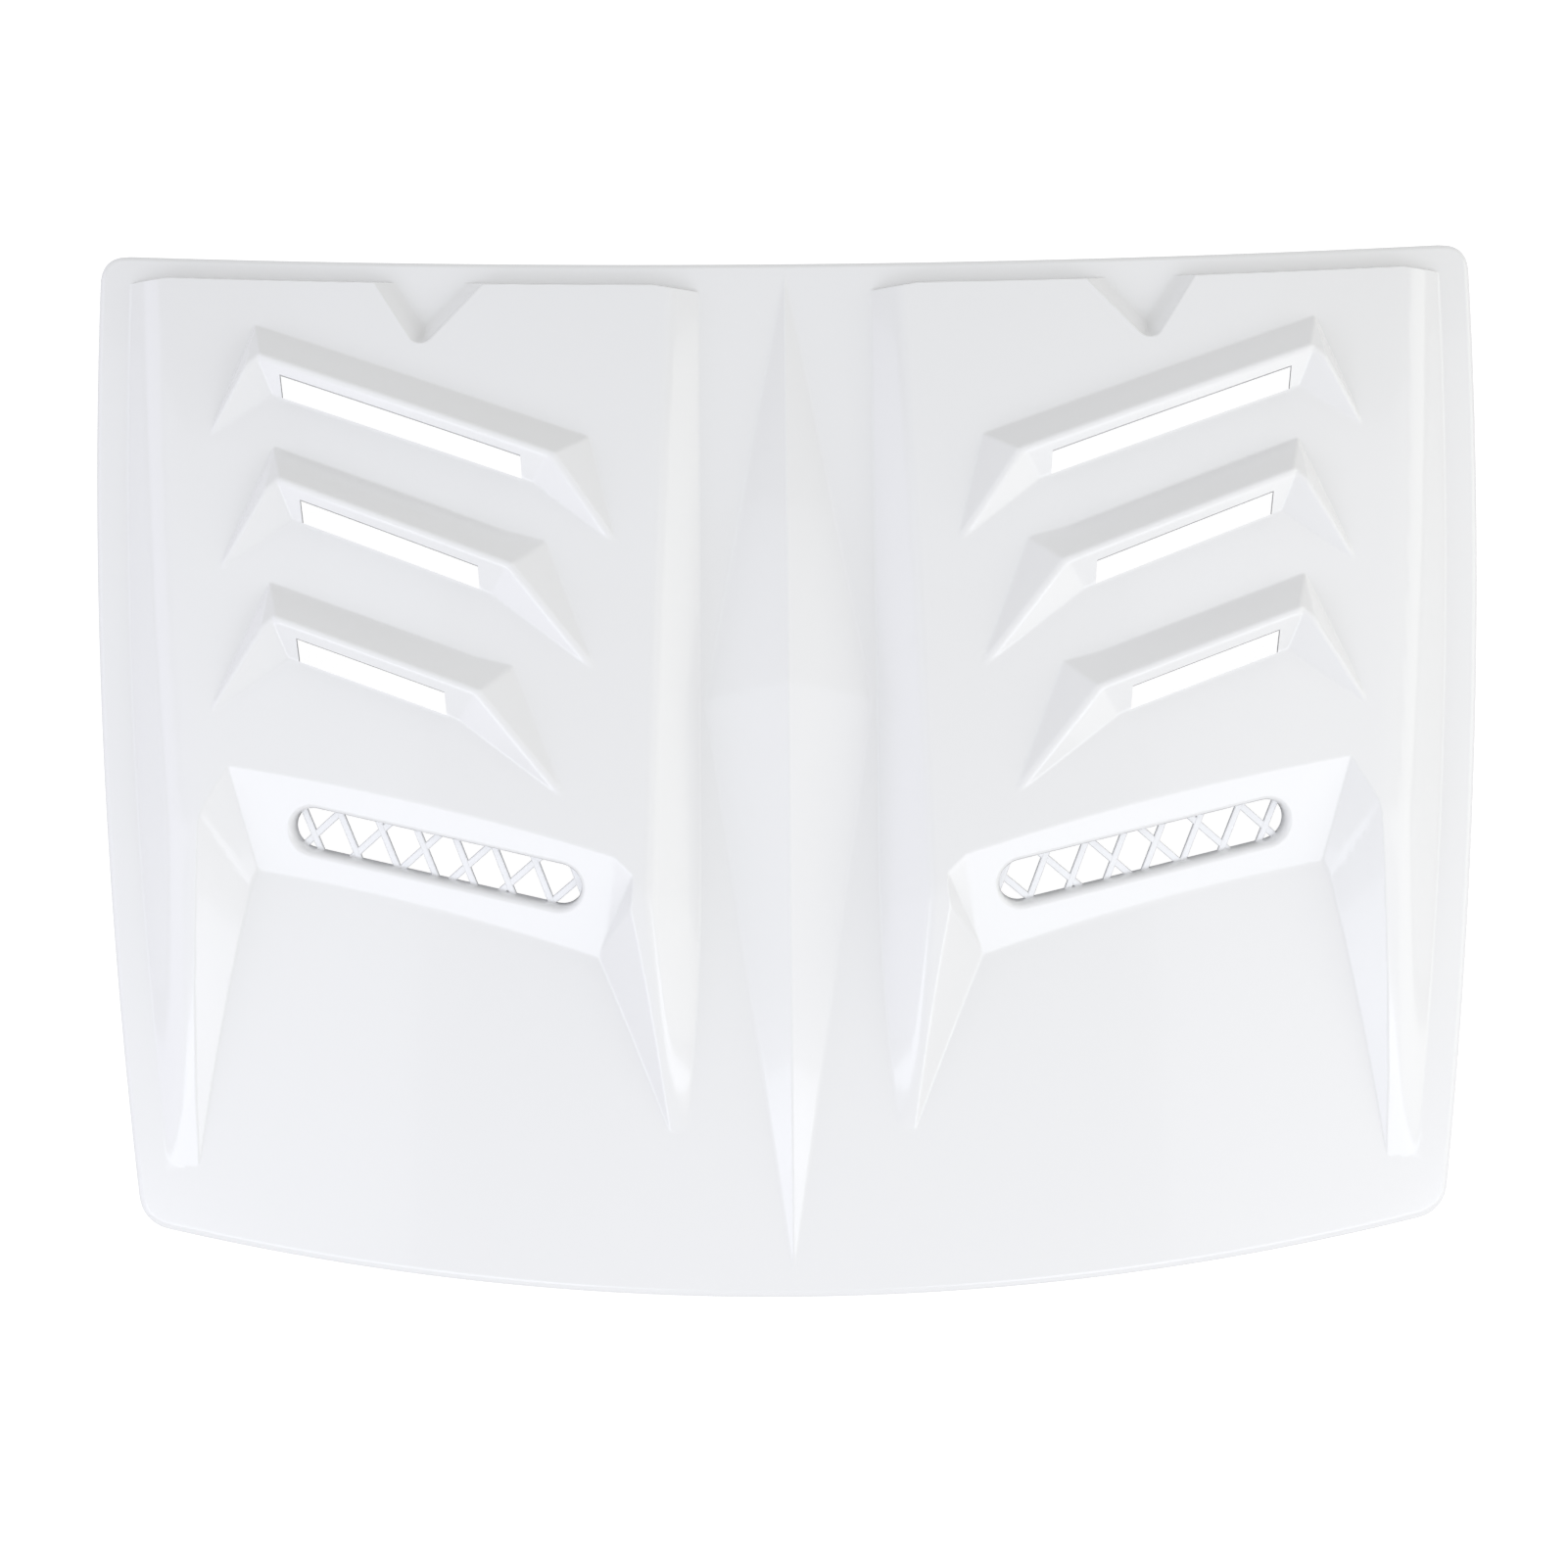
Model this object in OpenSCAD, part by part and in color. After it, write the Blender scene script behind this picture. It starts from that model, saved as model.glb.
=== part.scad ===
// Bonnet vent panel: a thin moulded skin with two raised pods. Each pod carries three
// hooded louvres and opens forward in a scoop mouth with a latticed slot.
// X runs across the car, Y toward the windscreen and Z up. The origin lies under the
// middle of the panel, level with its four lowest corners.

/* [Outline] */
// Width between the rear corners
rear_width = 1150; // [1000:10:1300]
// Width between the front corners
front_width = 1030; // [900:10:1200]
// Length from the middle of the front edge to the rear corners
panel_length = 860; // [800:10:1000]
// How far the rear edge is hollowed at its middle
rear_bow = 28; // [0:1:50]
// How far the front edge bulges at its middle
front_bow = 60; // [20:1:90]
// How far each side edge bulges at its middle
side_bow = 10; // [0:1:25]
// Length that each rear corner takes off its two edges
rear_corner = 26; // [12:1:60]
// Length that each front corner takes off its two edges
front_corner = 22; // [12:1:60]

/* [Skin] */
// Thickness of the moulded skin
wall = 3; // [2:0.5:4]
// Depth of the turned-down lip round the edge
lip_depth = 10; // [8:1:20]
// Radius where the skin turns down into the lip
edge_radius = 6; // [5:0.5:8]
// Radius of the gentle crown from side to side
crown_across = 4500; // [3000:100:9000]
// Radius of the gentle crown from front to rear
crown_along = 4000; // [3000:100:9000]

/* [Pods] */
// Flat margin between a pod's foot and the side edge
side_margin = 28; // [20:1:45]
// Flat margin between a pod's foot and the rear edge
rear_margin = 19; // [12:1:30]
// Half the width of the valley between the pods
valley_half = 70; // [50:1:90]
// Height of a pod along its rear edge
pod_rear_height = 13; // [8:1:20]
// Height of a pod above its mouth
pod_mouth_height = 36; // [25:1:50]
// Plan width of the steep rear step
rear_step_run = 5; // [3:0.5:12]
// Plan width of the outer slope under its soft shoulder
outer_slope_run = 34; // [20:1:50]
// Plan width of the soft shoulder
shoulder_run = 24; // [10:1:40]
// Share of the height that the outer slope reaches under the shoulder
shoulder_share = 0.86; // [0.7:0.02:0.95]
// Plan width of the slope down to the valley
inner_slope_run = 38; // [20:1:50]
// Plan width of the eased edge between a pod's top and that slope
inner_ease = 10; // [4:1:16]

/* [Washer jet notches] */
// Distance between the middles of the two notches
notch_spacing = 584; // [500:2:650]
// How far a notch's tip lies outboard of its middle
notch_skew = 5; // [0:1:10]
// Width of a notch at the pod's rear edge
notch_width = 92; // [60:1:120]
// Depth of a notch from the pod's rear edge to its tip
notch_depth = 58; // [30:1:70]
// Radius of the notch's tip at its top
notch_tip_radius = 10; // [9:1:16]
// Plan width of the notch's sloping wall
notch_flare = 7; // [0:0.5:8]

/* [Mouth] */
// Upper outer corner of the grille face: inboard of the pod's foot, behind the front edge
grille_top_outer = [83, 420]; // [60:1:440]
// Upper inner corner of the grille face: outboard of the valley, behind the front edge
grille_top_inner = [74, 344]; // [60:1:440]
// Lower outer corner of the grille face: inboard of the pod's foot, behind the front edge
grille_foot_outer = [105, 334]; // [60:1:440]
// Lower inner corner of the grille face: outboard of the valley, behind the front edge
grille_foot_inner = [89, 274]; // [60:1:440]
// Crest corner of the outer rib's inner face
outer_rib_crest = [60, 381]; // [20:1:440]
// Foot corner of the outer rib's inner face
outer_rib_foot = [89, 325]; // [20:1:440]
// Front end of the outer rib's inner face
outer_rib_end = [32, 130]; // [20:1:440]
// Crest corner of the inner rib's mouth side
inner_rib_crest = [51, 301]; // [20:1:440]
// Foot corner of the inner rib's mouth side
inner_rib_foot = [81, 265]; // [20:1:440]
// Front end of the inner rib's mouth side
inner_rib_end = [26, 129]; // [20:1:440]
// Distance of the outer rib's tip behind the front edge's middle
outer_tip_back = 103; // [90:1:160]
// Distance of the inner rib's tip behind the front edge's middle
inner_tip_back = 128; // [100:1:160]
// How far the valley widens toward the inner rib's tip
valley_flare = 12; // [0:1:20]

/* [Slot and lattice] */
// Clear length of the round-ended slot in the grille face
slot_length = 234; // [180:1:240]
// Clear width of the slot
slot_width = 35; // [24:1:40]
// How far the slot's middle lies toward the valley from the middle of the grille face
slot_offset = 12; // [0:1:15]
// Turn of the slot in plan away from straight across
slot_turn = 13.6; // [10:0.2:16]
// Radius of the rolled-in edge of the slot
slot_roll = 5; // [2:0.5:7]
// Depth of the rolled-in edge behind the face
slot_depth = 9; // [7:0.5:12]
// Thickness of the lattice insert
lattice_thickness = 3; // [2:0.5:4]
// Width of a lattice bar
bar_width = 5.5; // [4:0.5:8]
// Distance along the slot between the steep bars
steep_pitch = 31.6; // [26:0.2:40]
// Lean of the steep bars from the slot's length
steep_angle = 60.3; // [50:0.5:70]
// Place of a steep bar along the slot from its middle
steep_phase = 10.4; // [-15:0.1:15]
// Distance along the slot between the shallow bars
shallow_pitch = 40.8; // [32:0.2:50]
// Lean of the shallow bars from the slot's length
shallow_angle = 127.2; // [115:0.5:135]
// Place of a shallow bar along the slot from its middle
shallow_phase = 14.3; // [-20:0.1:20]

/* [Louvres] */
// Rear outer corners of the three louvres: inboard of the pod's foot, ahead of the rear corners
louvre_rear_outer = [[111, 77], [128, 184], [123, 298]];
// Rear inner corners: outboard of the valley, ahead of the rear corners
louvre_rear_inner = [[87, 183], [119, 274], [143, 375]];
// Tips of the outer legs: inboard of the pod's foot, ahead of the rear corners
louvre_outer_tip = [[73, 173], [80, 288], [69, 405]];
// Tips of the inner legs: outboard of the valley, ahead of the rear corners
louvre_inner_tip = [[64, 275], [79, 378], [102, 479]];
// Height of a louvre's crest above the pod
louvre_height = 20; // [12:1:26]
// Plan width of a louvre's rear face
louvre_rear_run = 34; // [24:1:40]
// Plan width of a louvre's front face
louvre_front_run = 28; // [22:1:34]
// Plan width that the rounded crest takes off each face
crest_ease = 3; // [1:0.5:6]
// Plan width of the vent slot in the front face
vent_run = 16; // [10:1:20]
// Distance of the vent slot's ends from the ends of the front face
vent_end_gap = 9; // [4:1:20]

/* [Spine] */
// Height of the diamond spine at its peak
spine_height = 29; // [15:1:35]
// Half the width of the spine at its widest
spine_half_width = 66; // [40:1:70]
// Gap between the spine's rear tip and the rear edge
spine_rear_gap = 9; // [8:1:60]
// Gap between the spine's front tip and the front edge
spine_front_gap = 17; // [10:1:60]
// Distance of the peak ahead of the rear corners
spine_peak = 385; // [300:5:500]
// How far the widest place lies ahead of the peak
spine_side_lead = 11; // [0:1:20]

/* [Hidden] */

skin_colour = [0.94, 0.94, 0.95];
grille_colour = [0.92, 0.92, 0.93];

// Steps along the edges, the corners and the rolled edge
edge_steps = 12;
side_steps = 9;
corner_steps = 5;
roll_steps = 3;
inner_rings = [0.9, 0.72, 0.5, 0.25];
// Rows and columns of a pod's top
pod_rows = 12;
pod_columns = 5;
// How far raised forms reach down into the skin's solid
sink = 6;
// Depth of the hollow below the lip, so that the underside is open
under_depth = 30;
// Share of the wall by which a sloping face's hollow draws in, and how many times that
// far a pointed tip's hollow pulls back
draw_in = 0.5;
tip_draw = 4;
// Share of the wall by which a sharp crest's hollow drops
crest_draw = 1.2;
// Directions in plan from a louvre's rear corners to its crest, from there to its front
// corners, and from the crest's outer end to the top of the outer leg
outer_crest_lean = [-0.35, -1];
inner_crest_lean = [0.8, -0.6];
outer_front_lean = [-0.2, -1];
inner_front_lean = [0.65, -0.6];
leg_lean = [0.4, -0.25];
// How far the outer leg's top lies below the crest
leg_drop = 2;
// Thickness of the slices between which hulls are drawn
slice = 0.01;
// How far a cut reaches past the face that it cuts
past = 0.2;
// How far the tools that cut the mouth reach
reach = 900;

rear_y = panel_length / 2;
front_corner_y = -panel_length / 2 + front_bow;

function mix(a, b, t) = a + (b - a) * t;
function unit(v) = v / norm(v);
function flat(p) = [p[0], p[1]];

// Edges of the outline
function rear_edge_y(x) = rear_y - rear_bow * (1 - pow(2 * x / rear_width, 2));
function front_edge_y(x) = -panel_length / 2 + front_bow * pow(2 * x / front_width, 2);
function side_share(y) = (y - front_corner_y) / (rear_y - front_corner_y);
function side_edge_x(y) =
    let (s = side_share(y))
    mix(front_width, rear_width, s) / 2 + side_bow * 4 * s * (1 - s);

// Gentle crown, with its apex placed so that all four corners are equally low
function bend(x, y, apex) = x * x / 2 / crown_across + pow(y - apex, 2) / 2 / crown_along;
corner_fall = (pow(rear_width, 2) - pow(front_width, 2)) / 8 / crown_across * 2 * crown_along;
corner_span = rear_y - front_corner_y;
apex_y = (rear_y + front_corner_y) / 2 + corner_fall / 2 / corner_span;
function crown_z(x, y) = top_z - bend(x, y, apex_y);
function on_crown(p, h) = [p[0], p[1], crown_z(p[0], p[1]) + h];

// Rounded corner between two edge points
function corner(a, peak, b) = [
    for (i = [1 : corner_steps - 1])
        let (t = i / corner_steps)
        mix(mix(a, peak, t), mix(peak, b, t), t)
];
function rear_point(x) = [x, rear_edge_y(x)];
function side_point(y) = [side_edge_x(y), y];
function front_point(x) = [x, front_edge_y(x)];
rear_last = rear_width / 2 - rear_corner;
side_first = rear_y - rear_corner;
side_last = front_corner_y + front_corner;
front_first = front_width / 2 - front_corner;
half_outline = concat(
    [for (i = [0 : edge_steps]) rear_point(rear_last * i / edge_steps)],
    corner(rear_point(rear_last), [rear_width / 2, rear_y], side_point(side_first)),
    [for (i = [0 : side_steps]) side_point(mix(side_first, side_last, i / side_steps))],
    corner(side_point(side_last), [front_width / 2, front_corner_y], front_point(front_first)),
    [for (i = [0 : edge_steps]) front_point(front_first * (1 - i / edge_steps))]
);
outline = concat(half_outline, [
    for (i = [len(half_outline) - 2 : -1 : 1]) [-half_outline[i][0], half_outline[i][1]]
]);
sides = len(outline);
middle_y = (max([for (p = outline) p[1]]) + min([for (p = outline) p[1]])) / 2;
top_z = lip_depth + max([for (p = outline) bend(p[0], p[1], apex_y)]);

// Outline drawn in by a distance along each point's own normal
function drawn_in(d) = [
    for (i = [0 : sides - 1])
        let (
            along = unit(outline[(i + 1) % sides] - outline[(i + sides - 1) % sides])
        )
        outline[i] + d * [along[1], -along[0]]
];

// Crowned skin solid, lowered and drawn in by t for the hollow
module skin_solid(t) {
    turn = edge_radius - t;
    low = t > 0 ? under_depth : lip_depth;
    last = drawn_in(edge_radius);
    rings = concat(
        [[for (p = drawn_in(t)) on_crown(p, -low)]],
        [for (k = [0 : roll_steps])
            let (a = 90 * k / roll_steps)
            [for (p = drawn_in(edge_radius - turn * cos(a)))
                on_crown(p, -edge_radius + turn * sin(a))]],
        [for (s = inner_rings) [for (p = last) on_crown(p * s, -t)]]
    );
    count = len(rings);
    points = concat(
        [for (ring = rings) each ring],
        [on_crown([0, 0], -low), on_crown([0, 0], -t)]
    );
    walls = [
        for (r = [0 : count - 2], i = [0 : sides - 1])
            let (j = (i + 1) % sides, a = r * sides, b = a + sides)
            each [[a + i, b + j, b + i], [a + i, a + j, b + j]]
    ];
    floor_cap = [for (i = [0 : sides - 1]) [count * sides, (i + 1) % sides, i]];
    top_cap = [
        for (i = [0 : sides - 1])
            let (a = (count - 1) * sides)
            [count * sides + 1, a + i, a + (i + 1) % sides]
    ];
    polyhedron(points = points, faces = concat(walls, floor_cap, top_cap));
}

// Places on the right-hand pod
function outer_foot_x(y) = side_edge_x(y) - side_margin;
function valley_x(y) =
    valley_half + valley_flare * pow(max(0, (mouth_y - y) / (mouth_y - inner_tip_y)), 2);
outer_tip_y = -panel_length / 2 + outer_tip_back;
inner_tip_y = -panel_length / 2 + inner_tip_back;
mouth_y = -panel_length / 2 + grille_top_inner[1];
function from_front_outer(p) =
    let (y = -panel_length / 2 + p[1]) [outer_foot_x(y) - p[0], y];
function from_front_inner(p) = [valley_half + p[0], -panel_length / 2 + p[1]];
function from_rear_outer(p) = let (y = rear_y - p[1]) [outer_foot_x(y) - p[0], y];
function from_rear_inner(p) = [valley_half + p[0], rear_y - p[1]];

// Height of a pod: it rises from the rear to the mouth, then falls to the ribs' tips
function across(x, y) = (x - valley_x(y)) / (outer_foot_x(y) - valley_x(y));
function rib_start_y(s) =
    mix(from_front_inner(inner_rib_crest)[1], from_front_outer(outer_rib_crest)[1], s);
function tip_y(s) = mix(inner_tip_y, outer_tip_y, s);
function pod_rise(x, y) =
    let (
        s = across(x, y),
        start = rib_start_y(s),
        back = rear_edge_y(x) - rear_margin
    )
    y > start
        ? mix(pod_mouth_height, pod_rear_height, (y - start) / (back - start))
        : pod_mouth_height * max(0, (y - tip_y(s)) / (start - tip_y(s)));
function on_pod(p, h) = on_crown(p, pod_rise(p[0], p[1]) + h);

// One row of a pod's top, from the valley foot to the outer foot
function pod_row(k, t) =
    let (
        s = max(0, k - 1) / (pod_rows - 1),
        step = k == 0 ? 0 : rear_step_run,
        gap = rear_margin + step + draw_in * t,
        y_in = mix(rear_edge_y(valley_half) - gap, inner_tip_y, s),
        y_out = mix(rear_edge_y(outer_foot_x(rear_y)) - gap, outer_tip_y, s),
        h_in = k == 0 ? 0 : pod_rise(valley_x(y_in), y_in),
        h_out = k == 0 ? 0 : pod_rise(outer_foot_x(y_out), y_out),
        x_in = valley_x(y_in) + draw_in * t,
        x_out = outer_foot_x(y_out) - draw_in * t,
        size_in = sqrt(h_in / pod_mouth_height),
        size_out = sqrt(h_out / pod_mouth_height),
        half_ease = inner_ease / 2,
        slope_end = x_in + (inner_slope_run - half_ease) * size_in,
        top_in = x_in + (inner_slope_run + half_ease) * size_in,
        low_shoulder = x_out - outer_slope_run * size_out,
        top_out = low_shoulder - shoulder_run * size_out
    )
    concat(
        [[x_in, y_in, 0]],
        [[slope_end, y_in, h_in * (1 - half_ease / inner_slope_run)]],
        [for (c = [0 : pod_columns])
            let (m = c / pod_columns)
            [mix(top_in, top_out, m), mix(y_in, y_out, m), mix(h_in, h_out, m)]],
        [[low_shoulder, y_out, shoulder_share * h_out]],
        [[x_out, y_out, 0]]
    );

// Closed block under a grid of [x, y, height] places
module block(grid, t) {
    rows = len(grid);
    cols = len(grid[0]);
    half = rows * cols;
    points = concat(
        [for (row = grid, p = row) on_crown(flat(p), p[2] - t)],
        [for (row = grid, p = row) on_crown(flat(p), -sink - t)]
    );
    top = [
        for (r = [0 : rows - 2], c = [0 : cols - 2])
            let (a = r * cols + c, b = a + cols)
            each [[a, a + 1, b + 1], [a, b + 1, b]]
    ];
    under = [for (f = top) [f[2] + half, f[1] + half, f[0] + half]];
    rim = concat(
        [for (c = [0 : cols - 1]) c],
        [for (r = [1 : rows - 1]) r * cols + cols - 1],
        [for (c = [cols - 2 : -1 : 0]) (rows - 1) * cols + c],
        [for (r = [rows - 2 : -1 : 1]) r * cols]
    );
    skirt = [
        for (i = [0 : len(rim) - 1])
            let (a = rim[i], b = rim[(i + 1) % len(rim)])
            each [[a, a + half, b + half], [a, b + half, b]]
    ];
    polyhedron(points = points, faces = concat(top, under, skirt));
}

// Corners of the mouth
grille_a = on_crown(from_front_outer(grille_top_outer), pod_mouth_height);
grille_b = on_crown(from_front_inner(grille_top_inner), pod_mouth_height);
grille_foot = (from_front_outer(grille_foot_outer) + from_front_inner(grille_foot_inner)) / 2;
grille_c = on_crown(grille_foot, 0);
outer_crest = on_crown(from_front_outer(outer_rib_crest), pod_mouth_height);
outer_foot = on_crown(from_front_outer(outer_rib_foot), 0);
outer_end = on_crown(from_front_outer(outer_rib_end), 0);
inner_crest = on_crown(from_front_inner(inner_rib_crest), pod_mouth_height);
inner_foot = on_crown(from_front_inner(inner_rib_foot), 0);
inner_end = on_crown(from_front_inner(inner_rib_end), 0);
in_mouth = (outer_end + inner_end) / 2 + [0, 0, pod_mouth_height];
inner_corner = on_crown(from_front_inner(grille_foot_inner), 0);

function facing(a, b, c) =
    let (n = unit(cross(b - a, c - a)))
    n * (in_mouth - a) > 0 ? n : -n;

// Everything on the mouth's side of the plane through three corners
module beyond(a, b, c, t) {
    n = facing(a, b, c);
    u = unit(b - a);
    v = cross(n, u);
    multmatrix([
        [u[0], v[0], n[0], a[0]],
        [u[1], v[1], n[1], a[1]],
        [u[2], v[2], n[2], a[2]]
    ])
        translate([-reach, -reach, -t])
            cube([2 * reach, 2 * reach, reach]);
}

module mouth(t) {
    intersection() {
        beyond(grille_a, grille_b, grille_c, t);
        beyond(outer_crest, outer_foot, grille_a, t);
        beyond(outer_crest, outer_foot, outer_end, t);
        beyond(inner_crest, inner_foot, inner_corner, t);
        beyond(inner_crest, inner_foot, inner_end, t);
    }
}

// Clearance notch for a washer jet, open to the rear, with a sloping wall
module notch(t) {
    x = notch_spacing / 2;
    back = rear_edge_y(x) - rear_margin;
    tip = [x + notch_skew, back - notch_depth + notch_tip_radius];
    hull()
        for (level = [-past, 3 * pod_rear_height]) {
            grow = notch_flare * (level / pod_rear_height - 1) + draw_in * t;
            half = notch_width / 2 + grow;
            translate([tip[0], tip[1], crown_z(tip[0], tip[1]) + level - t])
                linear_extrude(slice)
                    circle(notch_tip_radius + grow, $fn = 24);
            translate([x - half, back, crown_z(x, back) + level - t])
                linear_extrude(slice)
                    square([2 * half, 4 * rear_margin]);
        }
}

module pod(t) {
    difference() {
        block([for (k = [0 : pod_rows]) pod_row(k, t)], t);
        mouth(t);
        notch(t);
    }
}

// Corners of louvre i on the pod, drawn in by d for the hollow
function louvre_rear(i, d) = [
    from_rear_outer(louvre_rear_outer[i]) + d * [-1, -1],
    from_rear_inner(louvre_rear_inner[i]) + d * [1, -1]
];
function louvre_crest(i) = [
    from_rear_outer(louvre_rear_outer[i]) + outer_crest_lean * louvre_rear_run,
    from_rear_inner(louvre_rear_inner[i]) + inner_crest_lean * louvre_rear_run
];
function louvre_front(i, d) = [
    louvre_crest(i)[0] + outer_front_lean * louvre_front_run + d * [-1, 1],
    louvre_crest(i)[1] + inner_front_lean * louvre_front_run + d * [1, 1]
];

// Three points round one end of a crest: on the rear face, on top and on the front face
function crest_end(crest, crest_lean, front_lean) =
    let (
        rear_height = louvre_height * (1 - crest_ease / louvre_rear_run),
        front_height = louvre_height * (1 - crest_ease / louvre_front_run),
        rear = crest - crest_lean * crest_ease,
        front = crest + front_lean * crest_ease,
        top_height = mix((rear_height + front_height) / 2, louvre_height, 0.5)
    )
    [
        [rear[0], rear[1], rear_height],
        [crest[0], crest[1], top_height],
        [front[0], front[1], front_height]
    ];

// Smallest convex solid round a list of points
module wrap(points) {
    hull()
        polyhedron(points = points, faces = [for (i = [1 : len(points) - 2]) [0, i, i + 1]]);
}

// Part of a louvre between its feet on the pod and its crest points
module louvre_part(feet, crests, t) {
    wrap(concat(
        [for (p = feet) on_pod(p, -t)],
        [for (p = feet) on_pod(p, -sink - t)],
        [for (c = crests) on_pod(flat(c), c[2] - crest_draw * t)]
    ));
}

module louvre(i, t) {
    d = draw_in * t;
    rear = louvre_rear(i, d);
    crest = louvre_crest(i);
    front = louvre_front(i, d);
    outer_tip = from_rear_outer(louvre_outer_tip[i]) + d * [-1, tip_draw];
    inner_tip = from_rear_inner(louvre_inner_tip[i]) + d * [1, tip_draw];
    outer_end = crest_end(crest[0], outer_crest_lean, outer_front_lean);
    inner_end = crest_end(crest[1], inner_crest_lean, inner_front_lean);
    leg = crest[0] + leg_lean * louvre_rear_run;
    leg_top = [leg[0], leg[1], louvre_height - leg_drop];
    louvre_part([rear[0], rear[1], front[0], front[1]], concat(outer_end, inner_end), t);
    louvre_part([rear[0], front[0], outer_tip], concat(outer_end, [leg_top]), t);
    louvre_part([rear[1], front[1], inner_tip], inner_end, t);
}

// Vent slot through the louvre's front face
module vent(i) {
    front = louvre_front(i, 0);
    along = unit(front[1] - front[0]);
    a = front[0] + vent_end_gap * along;
    b = front[1] - vent_end_gap * along;
    up = [0, vent_run];
    linear_extrude(2 * top_z)
        polygon([a, a + up, b + up, b]);
}

// Frame of the slot on the grille face
slot_turned = [cos(slot_turn), sin(slot_turn)];
face_middle = (flat(grille_a) + flat(grille_b)) / 4 + grille_foot / 2;
slot_middle_plan = face_middle - slot_offset * slot_turned;
grille_normal = facing(grille_a, grille_b, grille_c);
function on_face(p) =
    [p[0], p[1], grille_a[2] - flat(grille_normal) * (p - flat(grille_a)) / grille_normal[2]];
slot_middle = on_face(slot_middle_plan);
slot_along = unit(on_face(slot_middle_plan + slot_turned) - slot_middle);
slot_up = cross(grille_normal, slot_along);

module on_slot() {
    u = slot_along;
    v = slot_up;
    n = grille_normal;
    multmatrix([
        [u[0], v[0], n[0], slot_middle[0]],
        [u[1], v[1], n[1], slot_middle[1]],
        [u[2], v[2], n[2], slot_middle[2]]
    ])
        children();
}

// Round-ended outline, larger than the clear slot by extra on every side
module slot_outline(extra) {
    half = (slot_length - slot_width) / 2;
    r = slot_width / 2 + extra;
    for (side = [-1, 1])
        translate([side * half, 0])
            circle(r, $fn = 32);
    square([2 * half, 2 * r], center = true);
}

// The slot's outline at a depth below the face
module slot_level(extra, depth) {
    translate([0, 0, -depth])
        linear_extrude(slice)
            slot_outline(extra);
}

module slot_collar() {
    on_slot()
        hull() {
            slot_level(wall, slot_depth);
            slot_level(wall + slot_roll, wall / 2);
        }
}

// Clear slot with its rolled edge, from the face down to the straight part
module slot_hole() {
    levels = concat(
        [[slot_roll, -past]],
        [for (k = [0 : roll_steps])
            let (a = 90 * k / roll_steps)
            [slot_roll * (1 - sin(a)), slot_roll * (1 - cos(a))]],
        [[0, 2 * slot_depth]]
    );
    on_slot()
        for (k = [0 : len(levels) - 2])
            hull() {
                slot_level(levels[k][0], levels[k][1]);
                slot_level(levels[k + 1][0], levels[k + 1][1]);
            }
}

module spine(t) {
    d = draw_in * t;
    rear_tip = [0, rear_edge_y(0) - spine_rear_gap - tip_draw * d];
    front_tip = [0, front_edge_y(0) + spine_front_gap + tip_draw * d];
    peak = [0, rear_y - spine_peak];
    side = [spine_half_width - d, peak[1] - spine_side_lead];
    feet = [rear_tip, side, front_tip, [-side[0], side[1]]];
    wrap(concat(
        [for (p = feet) on_crown(p, -t)],
        [for (p = feet) on_crown(p, -sink - t)],
        [on_crown(peak, spine_height - t)]
    ));
}

// Moves the origin under the middle of the outline
module centred() {
    translate([0, -middle_y, 0])
        children();
}

module both_sides() {
    children();
    mirror([1, 0, 0])
        children();
}

// The whole form, or its hollow where t is the wall
module form(t) {
    skin_solid(t);
    spine(t);
    both_sides() {
        pod(t);
        for (i = [0 : len(louvre_rear_outer) - 1])
            louvre(i, t);
    }
}

module panel() {
    color(skin_colour)
        centred()
            difference() {
                union() {
                    difference() {
                        form(0);
                        form(wall);
                    }
                    both_sides()
                        slot_collar();
                }
                both_sides() {
                    slot_hole();
                    for (i = [0 : len(louvre_rear_outer) - 1])
                        vent(i);
                }
            }
}

// Bars at one pitch and lean, enough to cross the whole slot
module bars(pitch, angle, phase) {
    count = ceil(slot_length / pitch / 2) + 1;
    for (k = [-count : count])
        translate([phase + k * pitch, 0])
            rotate(angle)
                square([3 * slot_width, bar_width], center = true);
}

// Lattice insert that seats on the end of the slot's rolled edge
module grille() {
    color(grille_colour)
        centred()
            on_slot()
                translate([0, 0, -slot_depth - lattice_thickness])
                    linear_extrude(lattice_thickness) {
                        difference() {
                            slot_outline(wall);
                            slot_outline(0);
                        }
                        intersection() {
                            slot_outline(wall / 2);
                            union() {
                                bars(steep_pitch, steep_angle, steep_phase);
                                bars(shallow_pitch, shallow_angle, shallow_phase);
                            }
                        }
                    }
}

module right_grille() {
    grille();
}

module left_grille() {
    mirror([1, 0, 0])
        grille();
}

panel();
left_grille();
right_grille();
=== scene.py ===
"""Studio scene of a moulded bonnet vent panel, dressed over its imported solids.

Sizes are in millimetres and are turned into metres when a mesh is made. X runs across the
car, Y toward the windscreen and Z up. The right half is worked out and the left mirrors it.
"""

import logging
import math
from collections.abc import Callable, Sequence
from dataclasses import dataclass
from enum import Enum

import bpy
import numpy as np
from mathutils import Matrix, Vector
from mathutils.geometry import delaunay_2d_cdt


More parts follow.
